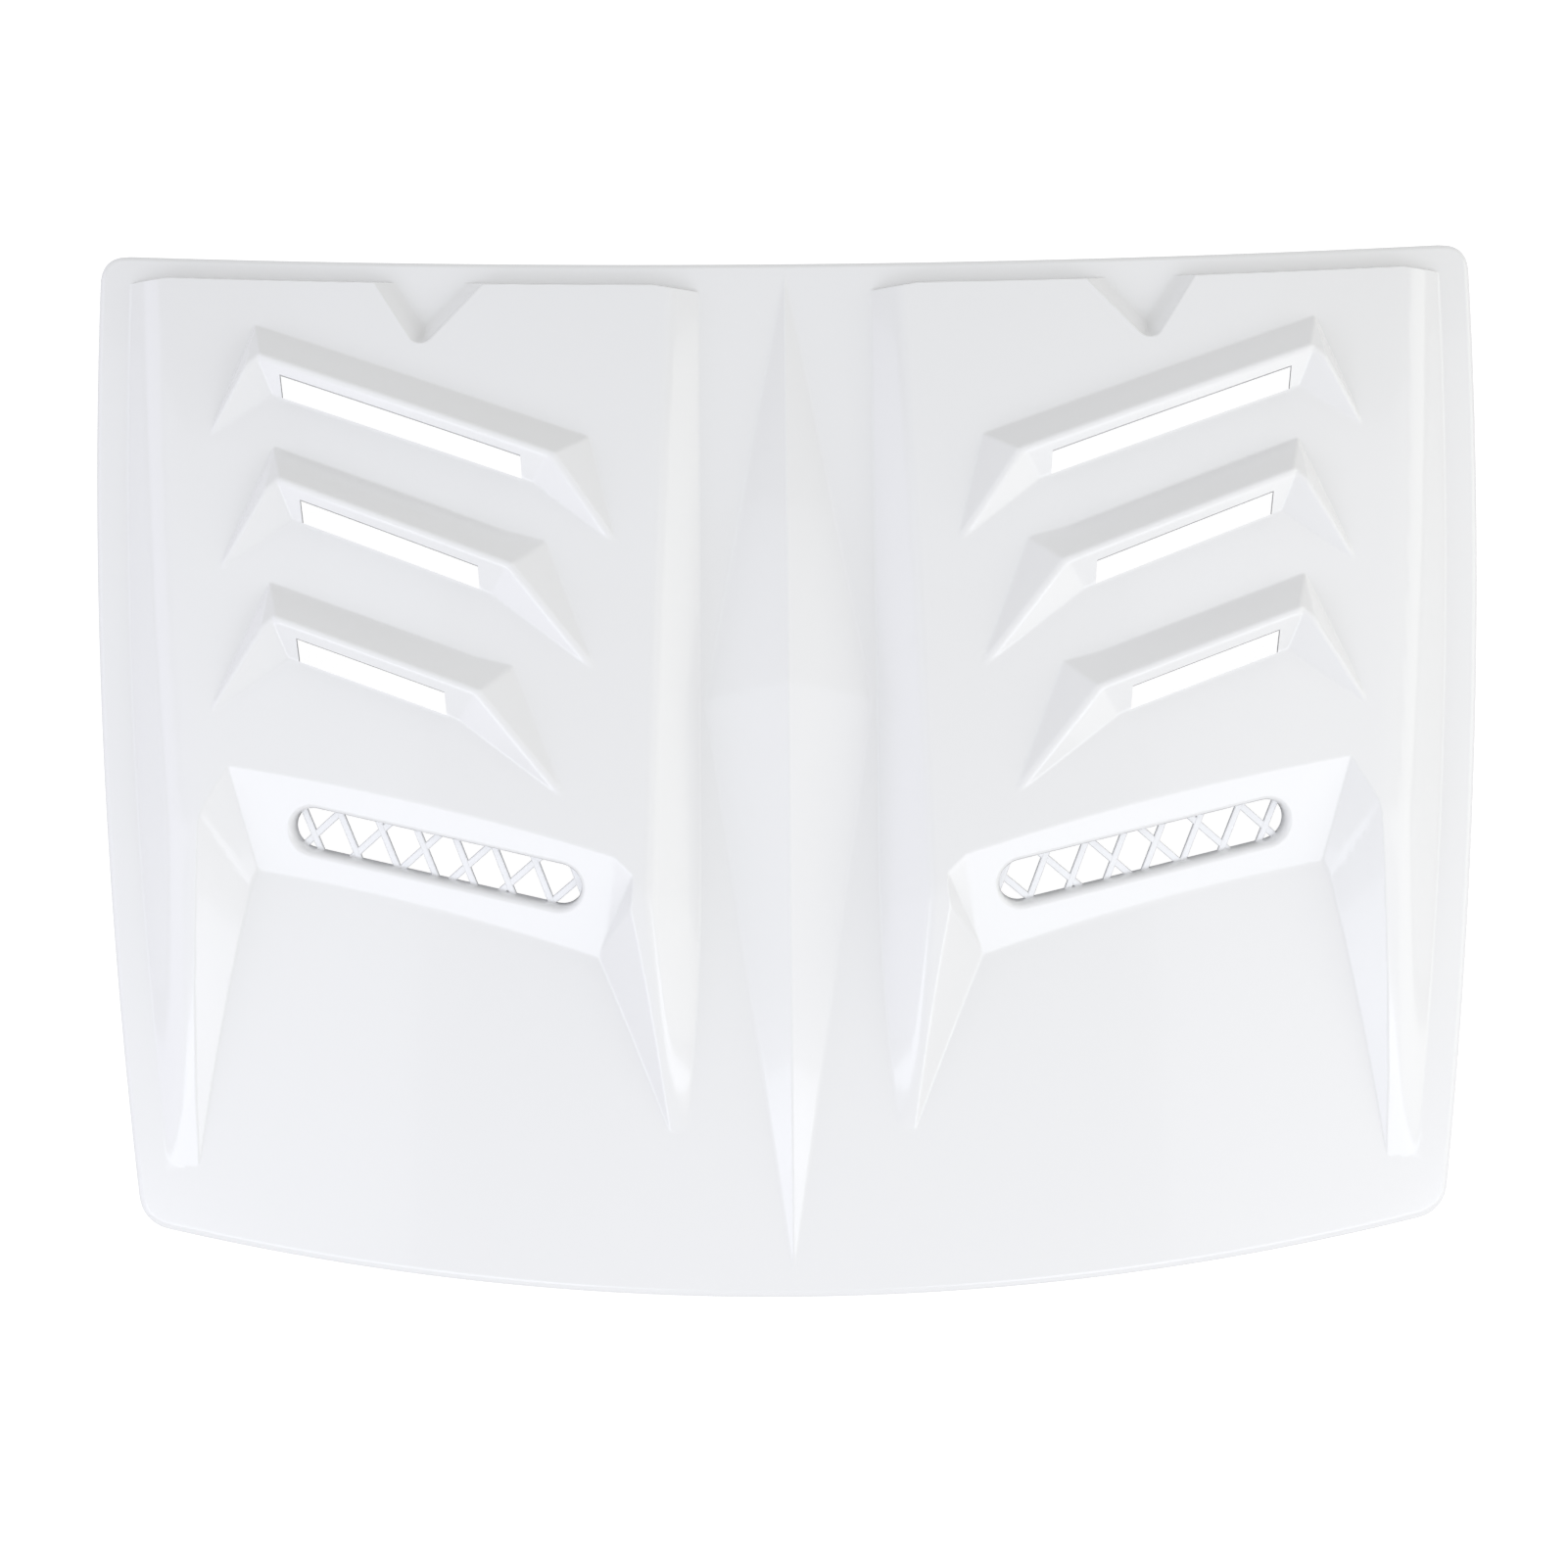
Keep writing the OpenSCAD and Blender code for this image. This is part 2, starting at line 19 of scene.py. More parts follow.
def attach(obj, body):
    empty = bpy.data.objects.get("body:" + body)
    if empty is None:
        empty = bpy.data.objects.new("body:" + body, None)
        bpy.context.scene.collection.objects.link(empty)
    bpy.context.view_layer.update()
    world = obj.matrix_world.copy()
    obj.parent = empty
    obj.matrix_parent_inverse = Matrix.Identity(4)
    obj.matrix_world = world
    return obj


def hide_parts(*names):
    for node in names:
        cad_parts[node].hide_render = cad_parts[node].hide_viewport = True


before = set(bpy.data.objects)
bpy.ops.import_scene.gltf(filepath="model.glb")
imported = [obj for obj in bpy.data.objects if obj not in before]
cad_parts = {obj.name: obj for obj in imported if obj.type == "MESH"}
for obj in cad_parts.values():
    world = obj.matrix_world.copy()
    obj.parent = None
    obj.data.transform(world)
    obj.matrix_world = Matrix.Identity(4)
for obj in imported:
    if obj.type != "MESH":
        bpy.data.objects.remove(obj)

LOG = logging.getLogger("bonnet_vent")
Array = np.ndarray
Field = Callable[[Array, Array], Array]
MM = 0.001


def soft_min(a: Array, b: Array, width: Array | float) -> Array:
    """Lower of two surfaces, with a round of that width in height where they cross.

    Args:
        a: Heights of the first surface.
        b: Heights of the second surface.
        width: Difference in height over which the two blend.

    Returns:
        The blended heights.
    """
    share = np.clip(0.5 + 0.5 * (b - a) / width, 0.0, 1.0)
    return b + (a - b) * share - width * share * (1.0 - share)


def soft_max(a: Array, b: Array, width: Array | float) -> Array:
    """Higher of two surfaces, with a round where they cross.

    Args:
        a: Heights of the first surface.
        b: Heights of the second surface.
        width: Difference in height over which the two blend.

    Returns:
        The blended heights.
    """
    return -soft_min(-a, -b, width)


def mix(a: Array | float, b: Array | float, share: Array | float) -> Array | float:
    """Value at a share of the way from a to b."""
    return a + (b - a) * share


def unit(v: Array) -> Array:
    """Vectors along the last axis, scaled to length one."""
    return v / np.linalg.norm(v, axis=-1, keepdims=True)


@dataclass(frozen=True)
class Facet:
    """A flat face, kept as the height of its plane over any place."""

    at: Array
    slope_x: float
    slope_y: float

    @classmethod
    def through(cls, a: Sequence[float], b: Sequence[float], c: Sequence[float]) -> "Facet":
        """Plane through three corners.

        Args:
            a: First corner as x, y and height.
            b: Second corner.
            c: Third corner.

        Returns:
            The facet.
        """
        p, q, r = (np.array(v, float) for v in (a, b, c))
        normal = np.cross(q - p, r - p)
        return cls(p, -normal[0] / normal[2], -normal[1] / normal[2])

    def height(self, x: Array, y: Array) -> Array:
        """Height of the plane over each place."""
        return self.at[2] + self.slope_x * (x - self.at[0]) + self.slope_y * (y - self.at[1])

    def point(self, place: Array) -> Array:
        """The plane's point over one place in plan."""
        return np.array([*place, self.height(place[0], place[1])])


@dataclass(frozen=True)
class Outline:
    """Edges, corners and crown of the whole moulding."""

    rear_width: float = 1150.0
    front_width: float = 1030.0
    length: float = 860.0
    rear_bow: float = 28.0
    front_bow: float = 60.0
    side_bow: float = 10.0
    rear_corner: float = 26.0
    front_corner: float = 22.0
    lip_depth: float = 10.0
    edge_radius: float = 6.0
    crown_across: float = 4500.0
    crown_along: float = 4000.0
    middle_y: float = -1.237
    top_z: float = 62.26

    @property
    def rear_y(self) -> float:
        """Place of the rear corners."""
        return self.length / 2

    @property
    def front_y(self) -> float:
        """Place of the front edge's middle."""
        return -self.length / 2

    @property
    def front_corner_y(self) -> float:
        """Place of the front corners."""
        return self.front_y + self.front_bow

    @property
    def apex_y(self) -> float:
        """Place of the crown's top, from which all four corners are equally low."""
        fall = (self.rear_width**2 - self.front_width**2) / 4 / self.crown_across * self.crown_along
        span = self.rear_y - self.front_corner_y
        return (self.rear_y + self.front_corner_y) / 2 + fall / 2 / span

    def rear_edge(self, x: Array | float) -> Array | float:
        """Place of the hollowed rear edge at each x."""
        return self.rear_y - self.rear_bow * (1 - (2 * x / self.rear_width) ** 2)

    def front_edge(self, x: Array | float) -> Array | float:
        """Place of the bulging front edge at each x."""
        return self.front_y + self.front_bow * (2 * x / self.front_width) ** 2

    def side_edge(self, y: Array | float) -> Array | float:
        """Distance of the side edge from the middle at each y."""
        share = (y - self.front_corner_y) / (self.rear_y - self.front_corner_y)
        width = mix(self.front_width, self.rear_width, share)
        return width / 2 + self.side_bow * 4 * share * (1 - share)

    def crown(self, x: Array, y: Array) -> Array:
        """Height of the gently crowned skin."""
        bend = x**2 / 2 / self.crown_across + (y - self.apex_y) ** 2 / 2 / self.crown_along
        return self.top_z - bend

    def loop(self, step: float) -> Array:
        """Closed outline, clockwise from the middle of the rear edge.

        Args:
            step: Distance between points along the edges.

        Returns:
            Points as rows of x and y.
        """
        rear_last = self.rear_width / 2 - self.rear_corner
        side_first = self.rear_y - self.rear_corner
        side_last = self.front_corner_y + self.front_corner
        front_first = self.front_width / 2 - self.front_corner
        rear_x = np.linspace(0, rear_last, int(rear_last / step) + 1)
        side_y = np.linspace(side_first, side_last, int((side_first - side_last) / step) + 1)
        front_x = np.linspace(front_first, 0, int(front_first / step) + 1)
        rear = np.stack([rear_x, self.rear_edge(rear_x)], 1)
        side = np.stack([self.side_edge(side_y), side_y], 1)
        front = np.stack([front_x, self.front_edge(front_x)], 1)
        rear_peak = np.array([self.rear_width / 2, self.rear_y])
        front_peak = np.array([self.front_width / 2, self.front_corner_y])
        rear_turn = self._corner(rear[-1], rear_peak, side[0])
        rear_turn[:, 1] = np.minimum(rear_turn[:, 1], rear[-1, 1])
        half = np.concatenate([
            rear,
            rear_turn,
            side,
            self._corner(side[-1], front_peak, front[0]),
            front,
        ])
        return np.concatenate([half, half[-2:0:-1] * [-1, 1]])

    @staticmethod
    def _corner(a: Array, peak: Array, b: Array, steps: int = 12) -> Array:
        """Points of a rounded corner between two edge points, both left out."""
        t = np.linspace(0, 1, steps + 1)[1:-1, None]
        return mix(mix(a, peak, t), mix(peak, b, t), t)


@dataclass(frozen=True)
class Pods:
    """The two raised pods: their feet, slopes, shoulders and rear steps."""

    edge: Outline
    side_margin: float = 28.0
    rear_margin: float = 19.0
    valley_half: float = 70.0
    valley_flare: float = 12.0
    rear_height: float = 13.0
    mouth_height: float = 36.0
    rear_step_run: float = 5.0
    rear_bend: float = 6.5
    outer_slope_run: float = 34.0
    shoulder_run: float = 24.0
    shoulder_share: float = 0.86
    inner_slope_run: float = 38.0
    outer_tip_back: float = 103.0
    inner_tip_back: float = 128.0
    mouth_back: float = 344.0
    outer_crest_back: float = 381.0
    inner_crest_back: float = 301.0

    def outer_foot(self, y: Array | float) -> Array | float:
        """Distance of a pod's outer foot from the middle."""
        return self.edge.side_edge(y) - self.side_margin

    def valley(self, y: Array | float) -> Array | float:
        """Distance of a pod's inner foot from the middle."""
        back = self.edge.front_y + self.mouth_back
        span = self.mouth_back - self.inner_tip_back
        return self.valley_half + self.valley_flare * np.maximum(0, (back - y) / span) ** 2

    def from_front_outer(self, p: Sequence[float]) -> Array:
        """Place given inboard of the pod's foot and behind the front edge."""
        y = self.edge.front_y + p[1]
        return np.array([self.outer_foot(y) - p[0], y])

    def from_front_inner(self, p: Sequence[float]) -> Array:
        """Place given outboard of the valley and behind the front edge."""
        return np.array([self.valley_half + p[0], self.edge.front_y + p[1]])

    def from_rear_outer(self, p: Sequence[float]) -> Array:
        """Place given inboard of the pod's foot and ahead of the rear corners."""
        y = self.edge.rear_y - p[1]
        return np.array([self.outer_foot(y) - p[0], y])

    def from_rear_inner(self, p: Sequence[float]) -> Array:
        """Place given outboard of the valley and ahead of the rear corners."""
        return np.array([self.valley_half + p[0], self.edge.rear_y - p[1]])

    def rise(self, x: Array, y: Array) -> Array:
        """Height of a pod's top over the crown, below zero ahead of the ribs' tips."""
        inner, outer = self.valley(y), self.outer_foot(y)
        s = np.clip((x - inner) / (outer - inner), -0.2, 1.2)
        front = self.edge.front_y
        start = mix(front + self.inner_crest_back, front + self.outer_crest_back, s)
        tip = mix(front + self.inner_tip_back, front + self.outer_tip_back, s)
        back = self.edge.rear_edge(x) - self.rear_margin
        top = mix(self.mouth_height, self.rear_height, (y - start) / (back - start))
        fall = self.mouth_height * (y - tip) / (start - tip)
        return soft_min(top, fall, 1.5)

    def surface(self, x: Array, y: Array) -> tuple[Array, Array]:
        """A pod's whole surface over the crown.

        Args:
            x: Distances from the middle, all positive.
            y: Places along the car.

        Returns:
            The heights, below zero outside the pod, and the square root of their share of
            the mouth's height, by which slopes and rounds shrink toward the ribs' tips.
        """
        top = self.rise(x, y)
        size = np.sqrt(np.clip(top, 0.01, None) / self.mouth_height)
        inside = x - self.valley(y)
        outside = self.outer_foot(y) - x
        off = np.clip(1 - outside / self.outer_slope_run, 0, 1) + np.clip(1 - inside / self.inner_slope_run, 0, 1)
        rear = self.edge.rear_edge(x) - self.rear_margin - self.rear_bend * off - y
        low = self.shoulder_share * self.mouth_height
        inner = self.mouth_height / self.inner_slope_run * size * inside
        slope = low / self.outer_slope_run * size * outside
        rest = (self.mouth_height - low) / self.shoulder_run * size
        shoulder = low * size**2 + rest * (outside - self.outer_slope_run * size)
        step = top / self.rear_step_run * rear
        out = soft_min(top, shoulder, 1.6 * size + 0.1)
        out = soft_min(out, slope, 6.0 * size + 0.2)
        out = soft_min(out, inner, 5.0 * size + 0.2)
        return soft_min(out, step, 2.2), size


@dataclass(frozen=True)
class Notches:
    """The rounded notches in the pods' rear edges that clear the washer jets."""

    pods: Pods
    spacing: float = 584.0
    skew: float = 4.0
    depth: float = 59.0
    tip_radius: float = 12.0
    outer_turn: float = 33.5
    inner_turn: float = 43.0
    edge_height: float = 18.0
    wall_run: float = 24.0
    hollow: float = 1.9
    sink: float = 1.2

    def ceiling(self, x: Array, y: Array) -> Array:
        """Height over the crown below which the notch leaves the pod.

        Args:
            x: Distances from the middle, all positive.
            y: Places along the car.

        Returns:
            The heights: a hollow wall that runs out in the notch's floor.
        """
        middle = self.spacing / 2
        back = self.pods.edge.rear_edge(middle) - self.pods.rear_margin
        dx = x - middle - self.skew
        dy = y - (back - self.depth + self.tip_radius)
        turn = np.radians(np.where(dx > 0, self.outer_turn, self.inner_turn))
        across = np.abs(dx)
        away = across * np.cos(turn) - dy * np.sin(turn)
        ahead = across * np.sin(turn) + dy * np.cos(turn)
        away = np.where(ahead > 0, away, np.hypot(dx, dy))
        inside = self.tip_radius - away
        share = np.clip(1 - inside / self.wall_run, 0, None)
        return self.edge_height * share**self.hollow - self.sink


@dataclass(frozen=True)
class Mouths:
    """The scoop mouths: grille faces, end faces and the ribs' inner faces."""

    pods: Pods
    grille_top_outer: tuple[float, float] = (83.0, 420.0)
    grille_top_inner: tuple[float, float] = (74.0, 344.0)
    grille_foot_outer: tuple[float, float] = (105.0, 334.0)
    grille_foot_inner: tuple[float, float] = (89.0, 274.0)
    outer_rib_crest: tuple[float, float] = (60.0, 381.0)
    outer_rib_foot: tuple[float, float] = (89.0, 325.0)
    outer_rib_end: tuple[float, float] = (32.0, 130.0)
    inner_rib_crest: tuple[float, float] = (51.0, 301.0)
    inner_rib_foot: tuple[float, float] = (81.0, 265.0)
    inner_rib_end: tuple[float, float] = (26.0, 129.0)
    inner_end_top: tuple[float, float] = (61.0, 336.0)
    inner_side_top: tuple[float, float] = (50.5, 331.0)
    edge_round: float = 0.7

    def corner(self, place: Array, height: float) -> Array:
        """A corner at a height over the crown."""
        return np.array([*place, self.pods.edge.crown(*place) + height])

    def facets(self) -> dict[str, Facet]:
        """The six flat faces of the right-hand mouth, by name."""
        pods, high = self.pods, self.pods.mouth_height
        foot_outer = pods.from_front_outer(self.grille_foot_outer)
        foot_inner = pods.from_front_inner(self.grille_foot_inner)
        top_outer = self.corner(pods.from_front_outer(self.grille_top_outer), high)
        top_inner = self.corner(pods.from_front_inner(self.grille_top_inner), high)
        grille_foot = self.corner((foot_outer + foot_inner) / 2, 0)
        outer_crest = self.corner(pods.from_front_outer(self.outer_rib_crest), high)
        outer_foot = self.corner(pods.from_front_outer(self.outer_rib_foot), 0)
        outer_end = self.corner(pods.from_front_outer(self.outer_rib_end), 0)
        inner_crest = self.corner(pods.from_front_inner(self.inner_rib_crest), high)
        inner_foot = self.corner(pods.from_front_inner(self.inner_rib_foot), 0)
        inner_end = self.corner(pods.from_front_inner(self.inner_rib_end), 0)
        end_top = self.corner(pods.from_front_inner(self.inner_end_top), high)
        side_top = self.corner(pods.from_front_inner(self.inner_side_top), high)
        return {
            "grille": Facet.through(top_outer, top_inner, grille_foot),
            "outer_end": Facet.through(outer_crest, outer_foot, top_outer),
            "outer_rib": Facet.through(outer_crest, outer_foot, outer_end),
            "inner_end": Facet.through(end_top, inner_foot, self.corner(foot_inner, 0)),
            "inner_side": Facet.through(side_top, inner_crest, inner_foot),
            "inner_rib": Facet.through(inner_crest, inner_foot, inner_end),
        }

    def ceiling(self, x: Array, y: Array) -> Array:
        """Height below which the mouth leaves the pod."""
        faces = self.facets()
        out = faces["grille"].height(x, y)
        for name in ("outer_end", "inner_end", "outer_rib"):
            out = soft_max(out, faces[name].height(x, y), self.edge_round)
        side, rib = (faces[name].height(x, y) for name in ("inner_side", "inner_rib"))
        return soft_max(out, soft_min(side, rib, self.edge_round), self.edge_round)


@dataclass(frozen=True)
class Louvre:
    """One hooded louvre with its two legs and its vent slot."""

    pods: Pods
    rear_outer: tuple[float, float]
    rear_inner: tuple[float, float]
    outer_tip: tuple[float, float]
    inner_tip: tuple[float, float]
    height: float = 20.0
    rear_run: float = 34.0
    front_run: float = 28.0
    vent_run: float = 16.0
    vent_end_gap: float = 9.0
    crest_round: float = 5.5
    corner_run: float = 0.0
    corner_lift: float = 4.0

    def corners(self) -> dict[str, Array]:
        """Named corners as x, y and height over the pod."""
        ro = self.pods.from_rear_outer(self.rear_outer)
        ri = self.pods.from_rear_inner(self.rear_inner)
        co = ro + np.array([-0.35, -1.0]) * self.rear_run
        ci = ri + np.array([0.8, -0.6]) * self.rear_run
        fo = co + np.array([-0.2, -1.0]) * self.front_run
        fi = ci + np.array([0.65, -0.6]) * self.front_run
        leg = co + np.array([0.4, -0.25]) * self.rear_run
        places = {
            "rear_outer": (ro, 0.0),
            "rear_inner": (ri, 0.0),
            "crest_outer": (co, self.height),
            "crest_inner": (ci, self.height),
            "front_outer": (fo, 0.0),
            "front_inner": (fi, 0.0),
            "leg_top": (leg, self.height - 2.0),
            "outer_tip": (self.pods.from_rear_outer(self.outer_tip), 0.0),
            "inner_tip": (self.pods.from_rear_inner(self.inner_tip), 0.0),
        }
        return {name: np.array([*p, h]) for name, (p, h) in places.items()}

    def surface(self, x: Array, y: Array) -> Array:
        """Height of the louvre over the pod, below zero outside it.

        Args:
            x: Distances from the middle, all positive.
            y: Places along the car.

        Returns:
            The heights.
        """
        c = self.corners()
        crest = (c["crest_outer"] + c["crest_inner"]) / 2
        rear = Facet.through(c["rear_outer"], c["rear_inner"], crest).height(x, y)
        if self.corner_run > 0:
            rear = soft_max(rear, self.corner_facet(c).height(x, y), 0.5)
        front = Facet.through(c["front_outer"], c["front_inner"], crest)
        outer = Facet.through(c["rear_outer"], c["outer_tip"], c["leg_top"])
        bevel = Facet.through(c["rear_outer"], c["leg_top"], c["crest_outer"])
        inner = Facet.through(c["rear_inner"], c["inner_tip"], c["crest_inner"])
        leg_outer = Facet.through(c["leg_top"], c["outer_tip"], c["front_outer"])
        leg_inner = Facet.through(c["crest_inner"], c["inner_tip"], c["front_inner"])
        hood = soft_max(front.height(x, y), leg_outer.height(x, y), 0.8)
        hood = soft_max(hood, leg_inner.height(x, y), 0.8)
        out = soft_min(outer.height(x, y), bevel.height(x, y), 1.0)
        out = soft_min(rear, out, 1.2)
        out = soft_min(out, inner.height(x, y), 1.2)
        return soft_min(out, hood, self.crest_round)

    def corner_facet(self, corners: dict[str, Array]) -> Facet:
        """The flatter facet that fills the rear face's inner corner."""
        inner = corners["rear_inner"]
        back = unit(corners["rear_outer"] - inner) * self.corner_run
        moved = inner + np.array([0.0, self.corner_lift, 0.0])
        return Facet.through(inner + back, moved, corners["crest_inner"])

    def vent(self) -> Array:
        """Corners of the vent slot in plan, anticlockwise."""
        c = self.corners()
        a, b = c["front_outer"][:2], c["front_inner"][:2]
        along = unit(b - a)
        a, b = a + self.vent_end_gap * along, b - self.vent_end_gap * along
        up = np.array([0.0, self.vent_run])
        return np.array([b, a, a + up, b + up])


@dataclass(frozen=True)
class Spine:
    """The long diamond spine down the middle."""

    edge: Outline
    height: float = 29.0
    half_width: float = 66.0
    rear_gap: float = 9.0
    front_gap: float = 17.0
    peak_back: float = 385.0
    side_ahead: float = 11.0

    def surface(self, x: Array, y: Array) -> Array:
        """Height of the spine over the crown, with x of either sign."""
        peak_y = self.edge.rear_y - self.peak_back
        peak = (0.0, peak_y, self.height)
        side = (self.half_width, peak_y - self.side_ahead, 0.0)
        rear = Facet.through((0.0, self.edge.rear_edge(0.0) - self.rear_gap, 0.0), side, peak)
        front = Facet.through((0.0, self.edge.front_edge(0.0) + self.front_gap, 0.0), side, peak)
        halves = [soft_min(f.height(x, y), f.height(-x, y), 0.9) for f in (rear, front)]
        return soft_min(halves[0], halves[1], 0.4)


@dataclass(frozen=True)
class Slot:
    """The round-ended slot in a grille face, with its rolled-in edge."""

    mouths: Mouths
    length: float = 234.0
    width: float = 35.0
    offset: float = 12.0
    turn: float = 13.6
    roll: float = 5.0
    roll_depth: float = 8.0
    depth: float = 9.0

    def frame(self) -> tuple[Array, Array, Array, Array]:
        """Middle of the slot and its directions along, up the face and out of it."""
        m = self.mouths
        pods = m.pods
        foot = (pods.from_front_outer(m.grille_foot_outer) + pods.from_front_inner(m.grille_foot_inner)) / 2
        tops = pods.from_front_outer(m.grille_top_outer) + pods.from_front_inner(m.grille_top_inner)
        face = m.facets()["grille"]
        turned = np.array([math.cos(math.radians(self.turn)), math.sin(math.radians(self.turn))])
        plan = tops / 4 + foot / 2 - self.offset * turned
        middle = face.point(plan)
        along = unit(face.point(plan + turned) - middle)
        normal = unit(np.array([-face.slope_x, -face.slope_y, 1.0]))
        return middle, along, np.cross(normal, along), normal

    def ring(self, ends: int = 22, straight: int = 60) -> tuple[Array, Array]:
        """Points of the clear slot in its own plane, anticlockwise, and their outward normals."""
        half, radius = (self.length - self.width) / 2, self.width / 2
        right = np.linspace(-90, 90, ends + 1)
        left = np.linspace(90, 270, ends + 1)
        line = np.linspace(-half, half, straight + 1)[1:-1]
        angles = np.radians(np.concatenate([right, np.full(len(line), 90.0), left, np.full(len(line), 270.0)]))
        middles = np.concatenate([
            np.full(len(right), half), line[::-1], np.full(len(left), -half), line,
        ])
        normals = np.stack([np.cos(angles), np.sin(angles)], 1)
        points = normals * radius + np.stack([middles, np.zeros(len(middles))], 1)
        return points, normals

    def place(self, out: float, depth: float) -> tuple[Array, Array]:
        """A ring of the slot in space.

        Args:
            out: Distance outside the clear slot, along the face.
            depth: Distance below the face.

        Returns:
            The ring's points and its outward directions along the face.
        """
        middle, along, up, normal = self.frame()
        points, normals = self.ring()
        flat = points + out * normals
        spread = normals[:, :1] * along + normals[:, 1:] * up
        return middle + flat[:, :1] * along + flat[:, 1:] * up - depth * normal, spread


@dataclass(frozen=True)
class Form:
    """The whole outer form of the moulding as one height over each place."""

    edge: Outline
    pods: Pods
    notches: Notches
    mouths: Mouths
    louvres: tuple[Louvre, ...]
    spine: Spine
    slot: Slot
    wall: float = 3.0

    @classmethod
    def whole(cls) -> "Form":
        """The panel's form at its real sizes."""
        edge = Outline()
        pods = Pods(edge)
        mouths = Mouths(pods)
        louvres = (
            Louvre(pods, (111, 77), (87, 183), (73, 173), (64, 275)),
            Louvre(pods, (128, 184), (119, 274), (80, 288), (79, 378), corner_run=34),
            Louvre(pods, (123, 298), (143, 375), (69, 405), (102, 479), corner_run=34),
        )
        return cls(edge, pods, Notches(pods), mouths, louvres, Spine(edge), Slot(mouths))

    def outer(self, x: Array, y: Array) -> Array:
        """Height of the outer face.

        Args:
            x: Places across the car, of either sign.
            y: Places along the car.

        Returns:
            The heights over the floor.
        """
        ax = np.abs(x)
        crown = self.edge.crown(ax, y)
        pod, size = self.pods.surface(ax, y)
        top = soft_min(crown + pod, self.mouths.ceiling(ax, y), 0.8)
        top = soft_min(top, crown + self.notches.ceiling(ax, y), 0.8)
        out = soft_max(crown, top, 0.15 + 1.1 * size)
        lift = crown + self.pods.rise(ax, y)
        for louvre in self.louvres:
            hood = louvre.surface(ax, y)
            out = np.where(hood > -1.5, soft_max(out, lift + hood, 0.9), out)
        return soft_max(out, crown + self.spine.surface(x, y), 1.0)

    def under(self, x: Array, y: Array) -> Array:
        """Height of the underside, one wall below the outer face."""
        sx, sy = slopes(self.outer, x, y)
        return self.outer(x, y) - self.wall * np.minimum(np.sqrt(1 + sx**2 + sy**2), 2.4)


def slopes(surface: Field, x: Array, y: Array, reach: float = 0.15) -> tuple[Array, Array]:
    """Slopes of a surface across and along the car.

    Args:
        surface: Gives the height over each place.
        x: Places across the car.
        y: Places along the car.
        reach: Half the distance over which a slope is taken.

    Returns:
        The two slopes at each place.
    """
    across = (surface(x + reach, y) - surface(x - reach, y)) / 2 / reach
    along = (surface(x, y + reach) - surface(x, y - reach)) / 2 / reach
    return across, along


def up_normals(surface: Field, x: Array, y: Array) -> Array:
    """Unit normals of a surface, pointing up."""
    sx, sy = slopes(surface, x, y)
    return unit(np.stack([-sx, -sy, np.ones_like(sx)], 1))


class Shell:
    """Triangles gathered patch by patch, with a normal at each point."""

    def __init__(self) -> None:
        """Starts empty."""
        self.points: list[Array] = []
        self.normals: list[Array] = []
        self.faces: list[Array] = []
        self.count = 0

    def patch(self, points: Array, normals: Array, faces: Array) -> None:
        """Adds one patch.

        Args:
            points: Rows of x, y and z.
            normals: One row for each point.
            faces: Rows of three indices, in either order of turning.
        """
        a, b, c = (points[faces[:, k]] for k in range(3))
        turned = np.einsum("ij,ij->i", np.cross(b - a, c - a), normals[faces].sum(1)) < 0
        faces = np.where(turned[:, None], faces[:, ::-1], faces)
        self.points.append(points)
        self.normals.append(normals)
        self.faces.append(faces + self.count)
        self.count += len(points)

    def strip(self, rings: Sequence[Array], normals: Sequence[Array], closed: bool = True) -> None:
        """Adds a band of triangles between rings of equal length.

        Args:
            rings: The rings' points.
            normals: Their normals.
            closed: Whether the last point joins the first.
        """
        n = len(rings[0])
        i = np.arange(n if closed else n - 1)
        j = (i + 1) % n
        faces = []
        for r in range(len(rings) - 1):
            a, b = r * n, (r + 1) * n
            faces += [np.stack([a + i, a + j, b + j], 1), np.stack([a + i, b + j, b + i], 1)]
        self.patch(np.concatenate(rings), np.concatenate(normals), np.concatenate(faces))

    def mirror(self) -> "Shell":
        """The same shell on the other side of the middle."""
        out = Shell()
        flip = np.array([-1.0, 1.0, 1.0])
        out.points = [p * flip for p in self.points]
        out.normals = [n * flip for n in self.normals]
        out.faces = [f[:, ::-1] for f in self.faces]
        out.count = self.count
        return out

    def join(self, other: "Shell") -> None:
        """Takes in another shell's patches."""
        self.points += other.points
        self.normals += other.normals
        self.faces += [f + self.count for f in other.faces]
        self.count += other.count

    def build(self, name: str, middle_y: float) -> bpy.types.Object:
        """Makes the mesh object in metres.

        Args:
            name: The object's name.
            middle_y: Where the outline's middle lies, which goes to the origin.

        Returns:
            The object, linked to the scene.
        """
        points = (np.concatenate(self.points) - [0.0, middle_y, 0.0]) * MM
        faces = np.concatenate(self.faces)
        mesh = bpy.data.meshes.new(name)
        mesh.from_pydata(points.tolist(), [], faces.tolist())
        mesh.polygons.foreach_set("use_smooth", np.ones(len(mesh.polygons), bool))
        mesh.normals_split_custom_set_from_vertices(np.concatenate(self.normals).tolist())
        mesh.update()
        piece = bpy.data.objects.new(name, mesh)
        bpy.context.scene.collection.objects.link(piece)
        return piece


